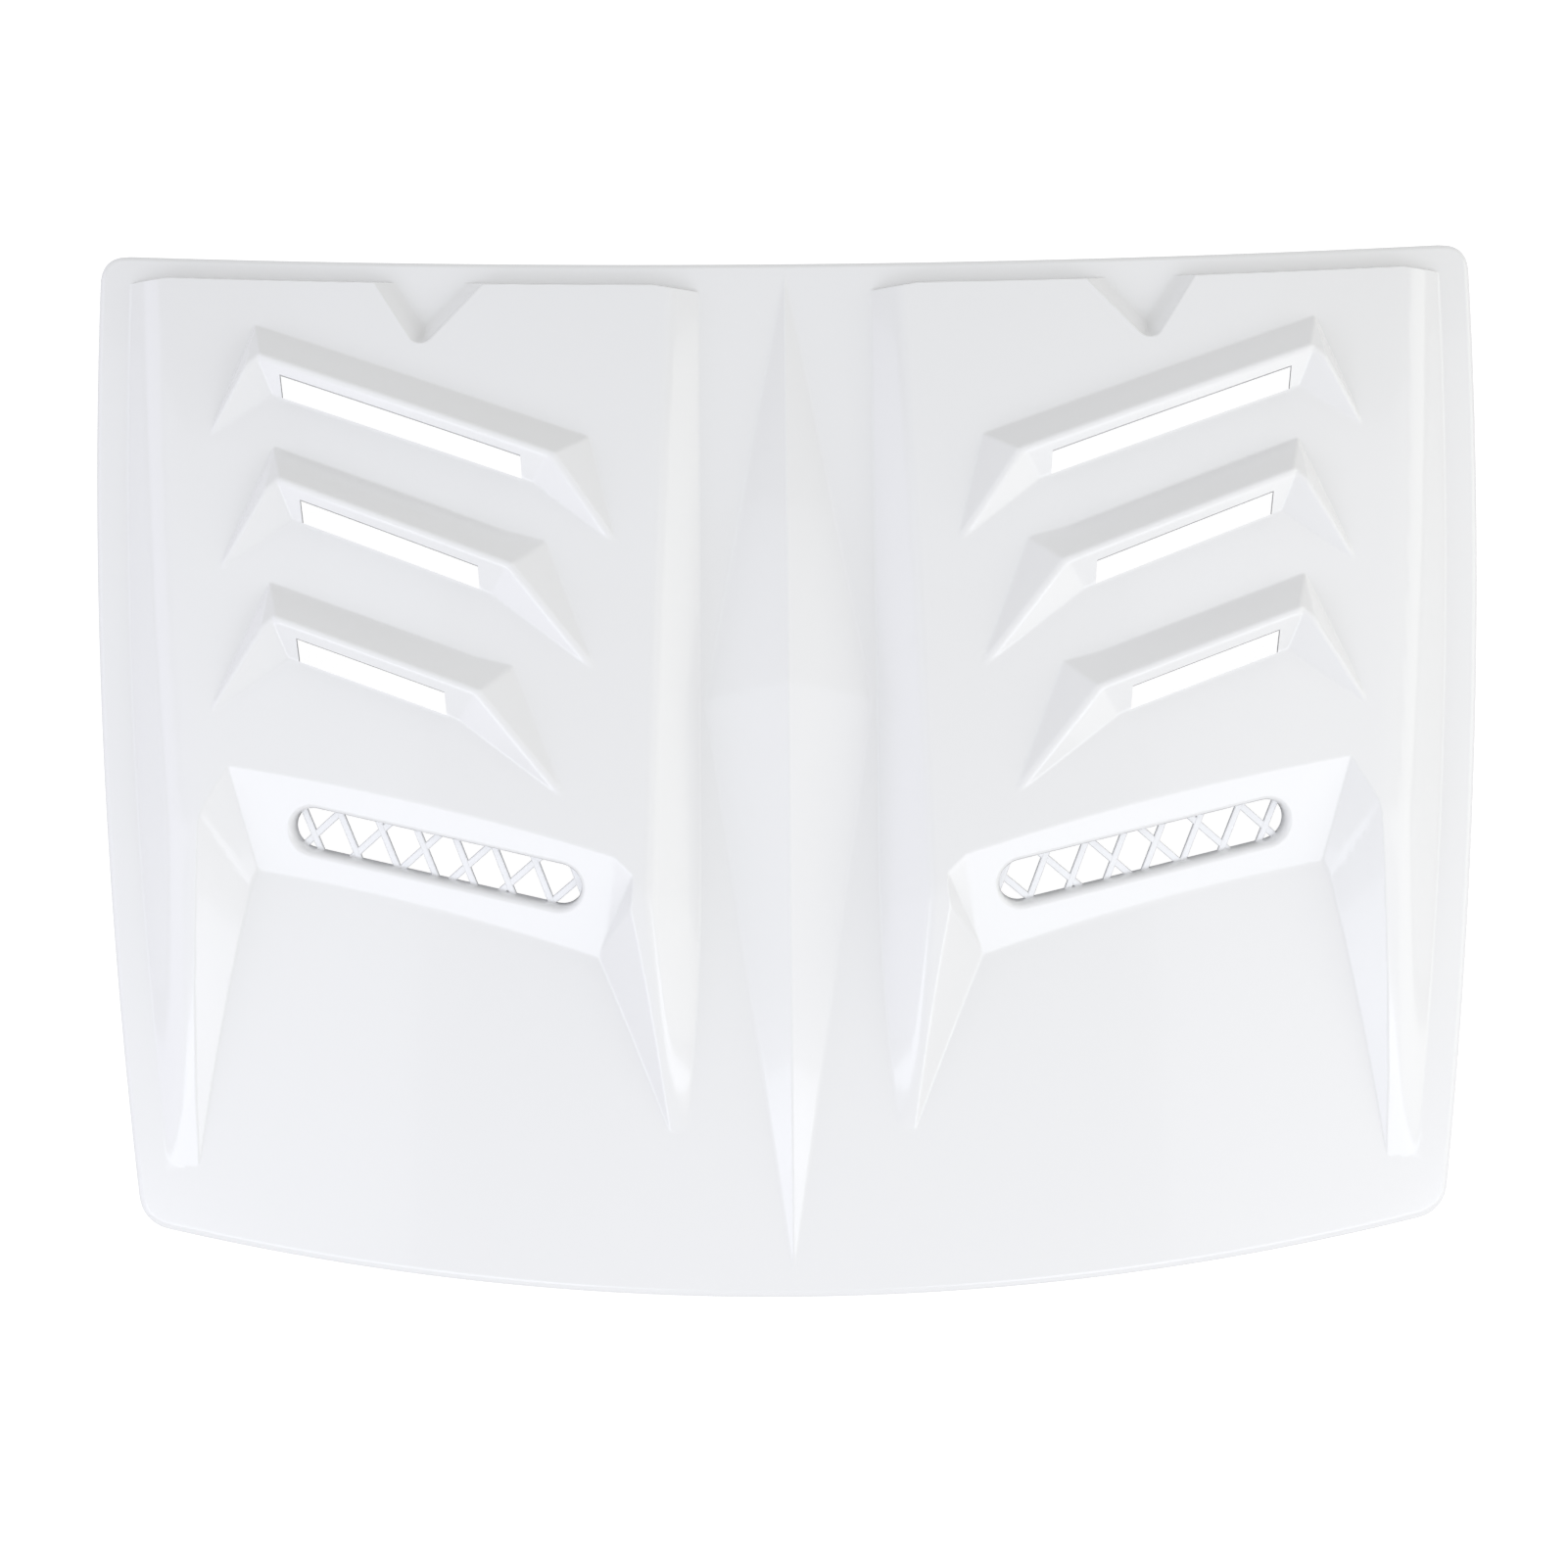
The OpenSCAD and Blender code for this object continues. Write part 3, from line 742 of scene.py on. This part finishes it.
@dataclass
class Moulding:
    """Builds the moulding's outer skin and underside from its form."""

    form: Form
    grid: float = 1.25
    levels: int = 4
    turn: float = 0.22
    loop_step: float = 4.0
    roll_steps: int = 8
    cut_step: float = 3.0

    def drawn_in(self, loop: Array, distance: float) -> Array:
        """The outline moved inward along its own normals."""
        return loop + distance * self.inward(loop)

    @staticmethod
    def inward(loop: Array) -> Array:
        """Unit directions into a clockwise loop."""
        along = unit(np.roll(loop, -1, 0) - np.roll(loop, 1, 0))
        return np.stack([along[:, 1], -along[:, 0]], 1)

    def vents(self) -> list[Array]:
        """Loops of all six vent slots, with points along their sides."""
        out = []
        for louvre in self.form.louvres:
            for sign in (1.0, -1.0):
                corners = louvre.vent() * [sign, 1.0]
                sides = []
                for a, b in zip(corners, np.roll(corners, -1, 0)):
                    n = max(2, int(np.linalg.norm(b - a) / self.cut_step))
                    sides.append(mix(a, b, np.arange(n)[:, None] / n))
                out.append(np.concatenate(sides))
        return out

    def rims(self) -> list[Array]:
        """Loops where the grille faces start to roll into their slots."""
        ring, _ = self.form.slot.place(self.form.slot.roll, 0.0)
        return [ring[:, :2] * [sign, 1.0] for sign in (1.0, -1.0)]

    def needed_level(self, x: Array, y: Array, least: int) -> Array:
        """Coarsest grid level that follows the form at each cell of the finest grid.

        Args:
            x: Places of the grid's columns.
            y: Places of the grid's rows.
            least: The finest level to use.

        Returns:
            A level for each cell, 0 being the finest.
        """
        xx, yy = np.meshgrid(x, y)
        z = self.form.outer(xx, yy)
        bend = np.zeros_like(z)
        bend[:, 1:-1] = np.abs(z[:, 2:] - 2 * z[:, 1:-1] + z[:, :-2])
        bend[1:-1] = np.maximum(bend[1:-1], np.abs(z[2:] - 2 * z[1:-1] + z[:-2]))
        bend /= self.grid
        level = np.full(z.shape, self.levels - 1)
        for k in range(self.levels - 2, least - 1, -1):
            sharp = bend > self.turn / 2 ** (k + 1)
            level[self.spread(sharp, 2 ** k)] = k
        for k in range(least, self.levels - 1):
            near = self.spread(level <= k, 3 * 2 ** k)
            level = np.where(near, np.minimum(level, k + 1), level)
        return level

    @staticmethod
    def spread(mask: Array, cells: int) -> Array:
        """A mask grown by that many cells each way."""
        out = mask
        for axis in (0, 1):
            grown = out.copy()
            step = 1
            done = 0
            while done < cells:
                step = min(max(1, done), cells - done)
                forward = np.roll(grown, step, axis)
                back = np.roll(grown, -step, axis)
                grown = grown | forward | back
                done += step
            out = grown
        return out

    def plan_points(self, loops: Sequence[Array], least: int) -> Array:
        """Places of the inner points of the moulding's mesh.

        Args:
            loops: The loops that the points keep clear of.
            least: The finest grid level to use.

        Returns:
            Rows of x and y, mirrored about the middle.
        """
        edge = self.form.edge
        cell = self.grid
        block = 2 ** (self.levels - 1)
        nx = int(edge.rear_width / 2 / cell / block + 2) * block
        ny = int(edge.length / 2 / cell / block + 1) * block
        x = np.arange(0, nx + 1) * cell
        y = np.arange(-ny, ny + 1) * cell
        level = self.needed_level(x, y, least)
        ix, iy = np.meshgrid(np.arange(nx + 1), np.arange(-ny, ny + 1))
        own = np.zeros(level.shape, int)
        for k in range(1, self.levels):
            own[(ix % 2**k == 0) & (iy % 2**k == 0)] = k
        keep = (own >= level) & (own >= least)
        blocked = np.zeros(level.shape, bool)
        for loop in loops:
            ring = np.concatenate([loop, loop[:1]])
            for a, b in zip(ring[:-1], ring[1:]):
                n = max(2, int(np.linalg.norm(b - a) / cell * 2))
                line = mix(a, b, np.linspace(0, 1, n)[:, None])
                col = np.round(line[:, 0] / cell).astype(int)
                row = np.round(line[:, 1] / cell).astype(int) + ny
                good = (col >= 0) & (col <= nx) & (row >= 0) & (row <= 2 * ny)
                blocked[row[good], col[good]] = True
        keep &= ~self.spread(blocked, max(1, 2**least // 2))
        right = np.stack([x[ix[keep]], iy[keep] * cell], 1)
        left = right[right[:, 0] > 0] * [-1, 1]
        return np.concatenate([right, left])

    @staticmethod
    def inside(points: Array, loop: Array) -> Array:
        """Whether each point lies inside a closed loop."""
        out = np.zeros(len(points), bool)
        px, py = points[:, 0], points[:, 1]
        for a, b in zip(loop, np.roll(loop, -1, 0)):
            if a[1] == b[1]:
                continue
            crosses = (a[1] > py) != (b[1] > py)
            out ^= crosses & (px < (b[0] - a[0]) * (py - a[1]) / (b[1] - a[1]) + a[0])
        return out

    def triangles(self, rim: Array, holes: Sequence[Array], least: int) -> tuple[Array, Array]:
        """Triangulates the plan between the rim and the holes.

        Args:
            rim: The outer loop.
            holes: The inner loops.
            least: The finest grid level to use.

        Returns:
            The places of the points, and the triangles as rows of three indices.
        """
        loops = [rim, *holes]
        inner = self.plan_points(loops, least)
        inner = inner[self.inside(inner, rim)]
        for hole in holes:
            inner = inner[~self.inside(inner, hole)]
        points = np.concatenate([*loops, inner])
        edges, start = [], 0
        for loop in loops:
            n = len(loop)
            edges += [(start + i, start + (i + 1) % n) for i in range(n)]
            start += n
        done = delaunay_2d_cdt([Vector(p) for p in points.tolist()], edges, [], 0, 1e-7, False)
        places = np.array([tuple(p) for p in done[0]])
        faces = np.array(done[2])
        middles = places[faces].mean(1)
        keep = self.inside(middles, rim)
        for hole in holes:
            keep &= ~self.inside(middles, hole)
        return places, faces[keep]

    def rim_ring(self, loop: Array, inset: float, drop: float) -> Array:
        """The outline drawn in and let down below the crown.

        Args:
            loop: The outline in plan.
            inset: Distance inside the outline.
            drop: Distance below the crown.

        Returns:
            The ring's points.
        """
        flat = self.drawn_in(loop, inset)
        return np.column_stack([flat, self.form.edge.crown(flat[:, 0], flat[:, 1]) - drop])

    def quarter(self, loop: Array, radius: float, angles: Array) -> list[Array]:
        """Rings of a quarter round between the crown and the lip's side."""
        outer = self.form.edge.edge_radius
        return [self.rim_ring(loop, outer - radius * math.cos(a), outer - radius * math.sin(a)) for a in angles]

    def rim_rings(self, shell: Shell, loop: Array) -> None:
        """Adds the rolled edge, the lip, its lower edge and its inner side."""
        edge, wall = self.form.edge, self.form.wall
        radius = edge.edge_radius
        out = np.concatenate([-self.inward(loop), np.zeros((len(loop), 1))], 1)
        down = np.broadcast_to([0.0, 0.0, -1.0], out.shape)
        angles = np.radians(np.linspace(90, 0, self.roll_steps + 1))
        flat = self.drawn_in(loop, radius)
        first = up_normals(self.form.outer, flat[:, 0], flat[:, 1])
        turns = [unit(out * math.cos(a) + first * math.sin(a)) for a in angles]
        low_out = self.rim_ring(loop, 0.0, edge.lip_depth)
        low_in = self.rim_ring(loop, wall, edge.lip_depth)
        shell.strip([*self.quarter(loop, radius, angles), low_out], [*turns, out])
        shell.strip([low_out, low_in], [down, down])
        backs = self.quarter(loop, radius - wall, angles[::-1])
        shell.strip([low_in, *backs], [-out, *(-turn for turn in turns[::-1])])

    def vent_walls(self, shell: Shell, loop: Array) -> None:
        """Adds the cut walls of one vent slot, side by side so that its corners stay crisp."""
        corners = [0]
        ring = np.concatenate([loop, loop[:1]])
        steps = unit(ring[1:] - ring[:-1])
        for i in range(1, len(loop)):
            if steps[i] @ steps[i - 1] < 0.99:
                corners.append(i)
        corners.append(len(loop))
        middle = loop.mean(0)
        for a, b in zip(corners[:-1], corners[1:]):
            side = ring[a:b + 1]
            along = unit(side[-1] - side[0])
            normal = np.array([along[1], -along[0], 0.0])
            if normal[:2] @ (middle - side[0]) < 0:
                normal = -normal
            normals = np.broadcast_to(normal, (len(side), 3))
            top = np.column_stack([side, self.form.outer(side[:, 0], side[:, 1])])
            low = np.column_stack([side, self.form.under(side[:, 0], side[:, 1])])
            shell.strip([top, low], [normals, normals], closed=False)

    def slot_collar(self) -> Shell:
        """The rolled edge and collar of the right-hand slot."""
        slot, wall = self.form.slot, self.form.wall
        normal = slot.frame()[3]
        rings, normals = [], []
        for a in np.radians(np.linspace(0, 90, self.roll_steps + 1)):
            ring, spread = slot.place(slot.roll * (1 - math.sin(a)), slot.roll_depth * (1 - math.cos(a)))
            rings.append(ring)
            across = math.sin(a) / slot.roll
            normals.append(unit(normal * math.cos(a) / slot.roll_depth - spread * across))
        low, spread = slot.place(0.0, slot.depth)
        shell = Shell()
        shell.strip([*rings, low], [*normals, -spread])
        outer, _ = slot.place(wall, slot.depth)
        back = np.broadcast_to(-normal, low.shape)
        shell.strip([low, outer], [back, back])
        rim, _ = slot.place(slot.roll, 0.0)
        rim = np.column_stack([rim[:, :2], self.form.under(rim[:, 0], rim[:, 1])])
        side = unit(spread - 0.4 * normal)
        shell.strip([outer, rim], [side, side])
        return shell

    def outer_skin(self) -> Shell:
        """The whole outer face with its rolled edges and cut walls."""
        loop = self.form.edge.loop(self.loop_step)
        rim = self.drawn_in(loop, self.form.edge.edge_radius)
        vents = self.vents()
        places, faces = self.triangles(rim, [*vents, *self.rims()], 0)
        x, y = places[:, 0], places[:, 1]
        shell = Shell()
        points = np.column_stack([places, self.form.outer(x, y)])
        shell.patch(points, up_normals(self.form.outer, x, y), faces)
        self.rim_rings(shell, loop)
        for vent in vents:
            self.vent_walls(shell, vent)
        collar = self.slot_collar()
        shell.join(collar)
        shell.join(collar.mirror())
        return shell

    def underside(self) -> Shell:
        """The inner face of the moulding, on a coarser grid."""
        loop = self.form.edge.loop(self.loop_step)
        rim = self.drawn_in(loop, self.form.edge.edge_radius)
        places, faces = self.triangles(rim, [*self.vents(), *self.rims()], 1)
        x, y = places[:, 0], places[:, 1]
        shell = Shell()
        points = np.column_stack([places, self.form.under(x, y)])
        shell.patch(points, -up_normals(self.form.under, x, y), faces)
        return shell


@dataclass(frozen=True)
class Lattice:
    """The latticed insert behind a slot: a rim and two families of crossing bars."""

    slot: Slot
    thickness: float = 3.0
    rim_width: float = 3.0
    bar_width: float = 5.5
    bar_round: float = 1.0
    steep: tuple[float, float, float] = (31.6, 60.3, 10.4)
    shallow: tuple[float, float, float] = (40.8, 127.2, 14.3)

    def profile(self) -> tuple[Array, Array]:
        """Rounded section of a bar, as offsets across and below the face, and its normals."""
        half, r, t = self.bar_width / 2, self.bar_round, self.thickness
        points, normals = [], []
        x, low = half - r, r - t
        for cx, cz, first in ((x, -r, 0), (-x, -r, 90), (-x, low, 180), (x, low, 270)):
            for a in np.radians(np.linspace(first, first + 90, 4)):
                points.append((cx + r * math.cos(a), cz + r * math.sin(a)))
                normals.append((math.cos(a), math.sin(a)))
        return np.array(points), np.array(normals)

    def reach(self, across: Array, along: Array) -> tuple[float, float] | None:
        """Where a line crosses the slot's outline.

        Args:
            across: A point on the line, in the slot's plane.
            along: The line's direction.

        Returns:
            The two distances along the line, or None where it misses the slot.
        """
        half = (self.slot.length - self.slot.width) / 2
        radius = self.slot.width / 2 + self.rim_width / 2
        t = np.linspace(-3 * self.slot.width, 3 * self.slot.width, 1201)
        line = across + t[:, None] * along
        gap = np.hypot(np.abs(line[:, 0]).clip(half) - half, line[:, 1])
        hit = t[gap < radius]
        return (float(hit[0]), float(hit[-1])) if len(hit) > 40 else None

    def bars(self, shell: Shell, family: tuple[float, float, float], sink: float) -> None:
        """Adds one family of parallel bars to the shell."""
        pitch, lean, phase = family
        middle, u, v, n = self.slot.frame()
        turn = math.radians(lean)
        along = np.array([math.cos(turn), math.sin(turn)])
        side = np.array([-along[1], along[0]])
        points, normals = self.profile()
        count = math.ceil(self.slot.length / pitch / 2) + 1
        for k in range(-count, count + 1):
            centre = np.array([phase + k * pitch, 0.0])
            span = self.reach(centre, along)
            if span is None:
                continue
            rings, turned = [], []
            for t in span:
                flat = centre + t * along + points[:, :1] * side
                depth = self.slot.depth + sink - points[:, 1:]
                rings.append(middle + flat[:, :1] * u + flat[:, 1:] * v - depth * n)
                across = normals[:, :1] * side
                turned.append(across[:, :1] * u + across[:, 1:] * v + normals[:, 1:] * n)
            shell.strip(rings, turned)

    def shell(self) -> Shell:
        """The right-hand insert."""
        slot = self.slot
        out = Shell()
        normal = slot.frame()[3]
        top_in, spread = slot.place(0.0, slot.depth)
        top_out, _ = slot.place(self.rim_width, slot.depth)
        low_in, _ = slot.place(0.0, slot.depth + self.thickness)
        low_out, _ = slot.place(self.rim_width, slot.depth + self.thickness)
        face = np.broadcast_to(normal, spread.shape)
        out.strip([top_in, top_out], [face, face])
        out.strip([top_out, low_out], [spread, spread])
        out.strip([low_out, low_in], [-face, -face])
        out.strip([low_in, top_in], [-spread, -spread])
        self.bars(out, self.steep, 0.0)
        self.bars(out, self.shallow, 0.25)
        return out


class Value:
    """A shader socket that takes part in Python arithmetic."""

    def __init__(self, shader: "Shader", socket: bpy.types.NodeSocket) -> None:
        """Keeps the socket and the shader that it belongs to."""
        self.shader = shader
        self.socket = socket

    def __add__(self, other: "Value | float") -> "Value":
        """Sum."""
        return self.shader.maths("ADD", self, other)

    def __radd__(self, other: float) -> "Value":
        """Sum, with the number first."""
        return self.shader.maths("ADD", other, self)

    def __sub__(self, other: "Value | float") -> "Value":
        """Difference."""
        return self.shader.maths("SUBTRACT", self, other)

    def __rsub__(self, other: float) -> "Value":
        """Difference, with the number first."""
        return self.shader.maths("SUBTRACT", other, self)

    def __mul__(self, other: "Value | float") -> "Value":
        """Product."""
        return self.shader.maths("MULTIPLY", self, other)

    def __rmul__(self, other: float) -> "Value":
        """Product, with the number first."""
        return self.shader.maths("MULTIPLY", other, self)


Input = Value | float | tuple


class Shader:
    """A node tree that is filled from Python."""

    def __init__(self, tree: bpy.types.NodeTree) -> None:
        """Takes a node tree and empties it."""
        self.tree = tree
        tree.nodes.clear()

    def node(self, kind: str, settings: dict | None = None, inputs: dict | None = None) -> bpy.types.Node:
        """Adds a node.

        Args:
            kind: The node's type.
            settings: Its properties, set before its inputs.
            inputs: Values or links of its sockets, by name or number.

        Returns:
            The node.
        """
        made = self.tree.nodes.new(kind)
        for name, value in (settings or {}).items():
            setattr(made, name, value)
        for key, value in (inputs or {}).items():
            if isinstance(value, Value):
                self.tree.links.new(value.socket, made.inputs[key])
            elif isinstance(value, bpy.types.NodeSocket):
                self.tree.links.new(value, made.inputs[key])
            else:
                made.inputs[key].default_value = value
        return made

    def maths(self, operation: str, a: Input, b: Input) -> Value:
        """One step of arithmetic on values."""
        made = self.node("ShaderNodeMath", {"operation": operation}, {0: a, 1: b})
        return Value(self, made.outputs[0])

    def blend(self, a: Input, b: Input, share: Input) -> Value:
        """A colour at a share of the way from a to b."""
        made = self.node("ShaderNodeMix", {"data_type": "RGBA"}, {0: share, 6: a, 7: b})
        return Value(self, made.outputs[2])

    def noise(self, scale: float, detail: float, roughness: float = 0.5) -> Value:
        """Noise over the object's own coordinates, from 0 to 1."""
        place = self.node("ShaderNodeTexCoord").outputs["Object"]
        made = self.node(
            "ShaderNodeTexNoise",
            {"noise_dimensions": "3D"},
            {"Vector": place, "Scale": scale, "Detail": detail, "Roughness": roughness},
        )
        return Value(self, made.outputs["Fac"])


@dataclass(frozen=True)
class MouldedGloss:
    """Gloss moulded plastic: nearly even colour, faint waviness and a fine skin."""

    name: str
    colour: tuple[float, float, float]
    shade: tuple[float, float, float]
    roughness: float = 0.16
    roughness_spread: float = 0.08
    wave_scale: float = 9.0
    wave_height: float = 0.0006
    peel_scale: float = 420.0
    peel_height: float = 0.00002

    def build(self) -> bpy.types.Material:
        """Makes the material."""
        material = bpy.data.materials.new(self.name)
        material.use_nodes = True
        s = Shader(material.node_tree)
        cloud = s.noise(3.5, 3.0)
        grain = s.noise(60.0, 4.0, 0.6)
        colour = s.blend((*self.colour, 1.0), (*self.shade, 1.0), cloud * 0.5 + grain * 0.25)
        rough = self.roughness + (s.noise(14.0, 3.0) - 0.5) * self.roughness_spread + grain * 0.02
        wave = s.node(
            "ShaderNodeBump",
            {},
            {"Height": s.noise(self.wave_scale, 1.0), "Distance": self.wave_height, "Strength": 0.5},
        )
        peel = s.node(
            "ShaderNodeBump",
            {},
            {
                "Height": s.noise(self.peel_scale, 2.0),
                "Distance": self.peel_height,
                "Strength": 0.6,
                "Normal": wave.outputs["Normal"],
            },
        )
        gloss = s.node(
            "ShaderNodeBsdfPrincipled",
            {},
            {
                "Base Color": colour,
                "Roughness": rough,
                "Normal": peel.outputs["Normal"],
                "IOR": 1.5,
                "Coat Weight": 0.35,
                "Coat Roughness": 0.04,
            },
        )
        s.node("ShaderNodeOutputMaterial", {}, {"Surface": gloss.outputs[0]})
        return material


class LampSide(Enum):
    """Where a studio lamp stands round the panel."""

    FRONT_LEFT = "front_left"
    FRONT_RIGHT = "front_right"
    REAR_HIGH = "rear_high"
    LEFT = "left"
    LEFT_HIGH = "left_high"
    RIGHT = "right"
    RIGHT_HIGH = "right_high"


@dataclass(frozen=True)
class Lamp:
    """One soft box."""

    side: LampSide
    place: tuple[float, float, float]
    size: tuple[float, float]
    power: float
    colour: tuple[float, float, float] = (1.0, 1.0, 1.0)

    def build(self, target: Vector) -> None:
        """Hangs the lamp and turns it to the target."""
        data = bpy.data.lights.new(f"{self.side.value}_lamp", "AREA")
        data.shape = "RECTANGLE"
        data.size, data.size_y = self.size
        data.energy = self.power
        data.color = self.colour
        lamp = bpy.data.objects.new(data.name, data)
        lamp.location = self.place
        lamp.rotation_mode = "QUATERNION"
        lamp.rotation_quaternion = (target - Vector(self.place)).to_track_quat("-Z", "Y")
        bpy.context.scene.collection.objects.link(lamp)


@dataclass
class Studio:
    """Camera, floor, world and lamps."""

    camera_place: tuple[float, float, float] = (-0.0043, -0.26956, 1.7582)
    camera_target: tuple[float, float, float] = (-0.0043, -0.02876, 0.045)
    camera_roll: float = 0.52
    focal_length: float = 50.0
    world_light: float = 0.56
    world_colour: tuple[float, float, float] = (1.0, 0.994, 0.962)
    floor_glow: float = 0.985
    floor_colour: float = 0.16
    lamps: tuple[Lamp, ...] = (
        Lamp(LampSide.FRONT_LEFT, (-1.27, -1.62, 1.62), (2.0, 1.0), 12.2, (0.875, 0.905, 1.0)),
        Lamp(LampSide.FRONT_RIGHT, (1.27, -1.62, 1.62), (2.0, 1.0), 12.2, (0.885, 0.91, 1.0)),
        Lamp(LampSide.LEFT, (-2.443, 0.0, 0.889), (3.4, 1.3), 10.4, (0.81, 0.8, 1.0)),
        Lamp(LampSide.LEFT_HIGH, (-1.601, 0.1, 2.049), (2.6, 1.5), 5.6, (0.9, 0.953, 1.0)),
        Lamp(LampSide.RIGHT, (2.443, 0.0, 0.889), (3.4, 1.3), 13.2, (0.994, 1.0, 0.955)),
        Lamp(LampSide.RIGHT_HIGH, (1.601, 0.1, 2.049), (2.6, 1.5), 5.6, (0.96, 0.94, 1.0)),
        Lamp(LampSide.REAR_HIGH, (0.0, 1.601, 2.049), (2.6, 1.5), 2.9, (0.7, 0.8, 1.0)),
    )

    def camera(self) -> None:
        """Sets up the camera at the photograph's height and angle."""
        data = bpy.data.cameras.new("camera")
        data.sensor_width = 36.0
        data.lens = self.focal_length
        data.clip_start, data.clip_end = 0.05, 100.0
        camera = bpy.data.objects.new("camera", data)
        place, target = Vector(self.camera_place), Vector(self.camera_target)
        turn = (target - place).to_track_quat("-Z", "Y").to_matrix().to_4x4()
        roll = Matrix.Rotation(math.radians(-self.camera_roll), 4, "Z")
        camera.matrix_world = Matrix.Translation(place) @ turn @ roll
        bpy.context.scene.collection.objects.link(camera)
        bpy.context.scene.camera = camera

    def floor(self) -> None:
        """Lays a wide pale floor that keeps the panel's shadow."""
        bpy.ops.mesh.primitive_plane_add(size=60.0, location=(0.0, 0.0, -0.0005))
        floor = bpy.context.object
        floor.name = "floor"
        material = bpy.data.materials.new("pale_floor")
        material.use_nodes = True
        s = Shader(material.node_tree)
        path = s.node("ShaderNodeLightPath")
        plain = s.node("ShaderNodeBsdfDiffuse", {}, {"Color": (0.8, 0.8, 0.8, 1.0)})
        faint = s.node("ShaderNodeBsdfDiffuse", {}, {"Color": (self.floor_colour,) * 3 + (1.0,)})
        glow = s.node("ShaderNodeEmission", {}, {"Color": (1.0, 1.0, 1.0, 1.0), "Strength": self.floor_glow})
        pale = s.node("ShaderNodeAddShader", {}, {0: faint.outputs[0], 1: glow.outputs[0]})
        seen = path.outputs["Is Camera Ray"]
        both = s.node("ShaderNodeMixShader", {}, {0: seen, 1: plain.outputs[0], 2: pale.outputs[0]})
        s.node("ShaderNodeOutputMaterial", {}, {"Surface": both.outputs[0]})
        floor.data.materials.append(material)

    def world(self) -> None:
        """Fills the world with even light, and white where the camera sees it."""
        world = bpy.data.worlds.new("studio")
        world.use_nodes = True
        bpy.context.scene.world = world
        s = Shader(world.node_tree)
        path = s.node("ShaderNodeLightPath")
        light = s.node(
            "ShaderNodeBackground", {}, {"Color": (*self.world_colour, 1.0), "Strength": self.world_light}
        )
        white = s.node("ShaderNodeBackground", {}, {"Color": (1.0, 1.0, 1.0, 1.0), "Strength": 1.0})
        both = s.node(
            "ShaderNodeMixShader", {}, {0: path.outputs["Is Camera Ray"], 1: light.outputs[0], 2: white.outputs[0]}
        )
        s.node("ShaderNodeOutputWorld", {}, {"Surface": both.outputs[0]})

    def build(self) -> None:
        """Builds the whole studio."""
        self.camera()
        self.floor()
        self.world()
        for lamp in self.lamps:
            lamp.build(Vector((0.0, 0.0, 0.04)))
            LOG.info("lamp %s at %s", lamp.side.value, lamp.place)


def dress(shell: Shell, name: str, node: str, finish: bpy.types.Material, middle_y: float) -> None:
    """Makes a piece from a shell and ties it to the frame.

    Args:
        shell: The piece's triangles.
        name: The piece's name.
        node: The solid that it stands for.
        finish: Its material.
        middle_y: Where the outline's middle lies.
    """
    piece = shell.build(name, middle_y)
    piece.data.materials.append(finish)
    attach(piece, "root")
    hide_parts(node)
    LOG.info("%s: %d triangles", name, len(piece.data.polygons))


def main() -> None:
    """Builds the panel, its inserts and the studio."""
    logging.basicConfig(level=logging.INFO)
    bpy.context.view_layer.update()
    scene = bpy.context.scene
    scene.view_settings.view_transform = "Standard"
    form = Form.whole()
    middle_y = form.edge.middle_y
    skin = MouldedGloss("white_gloss_skin", (0.90, 0.90, 0.905), (0.875, 0.88, 0.885)).build()
    mesh = MouldedGloss("white_gloss_lattice", (0.86, 0.865, 0.88), (0.82, 0.83, 0.85)).build()
    moulding = Moulding(form)
    dress(moulding.outer_skin(), "outer_skin", "panel", skin, middle_y)
    dress(moulding.underside(), "underside", "panel", skin, middle_y)
    insert = Lattice(form.slot).shell()
    dress(insert, "right_lattice", "right_grille", mesh, middle_y)
    dress(insert.mirror(), "left_lattice", "left_grille", mesh, middle_y)
    Studio().build()


if __name__ == "__main__":
    main()
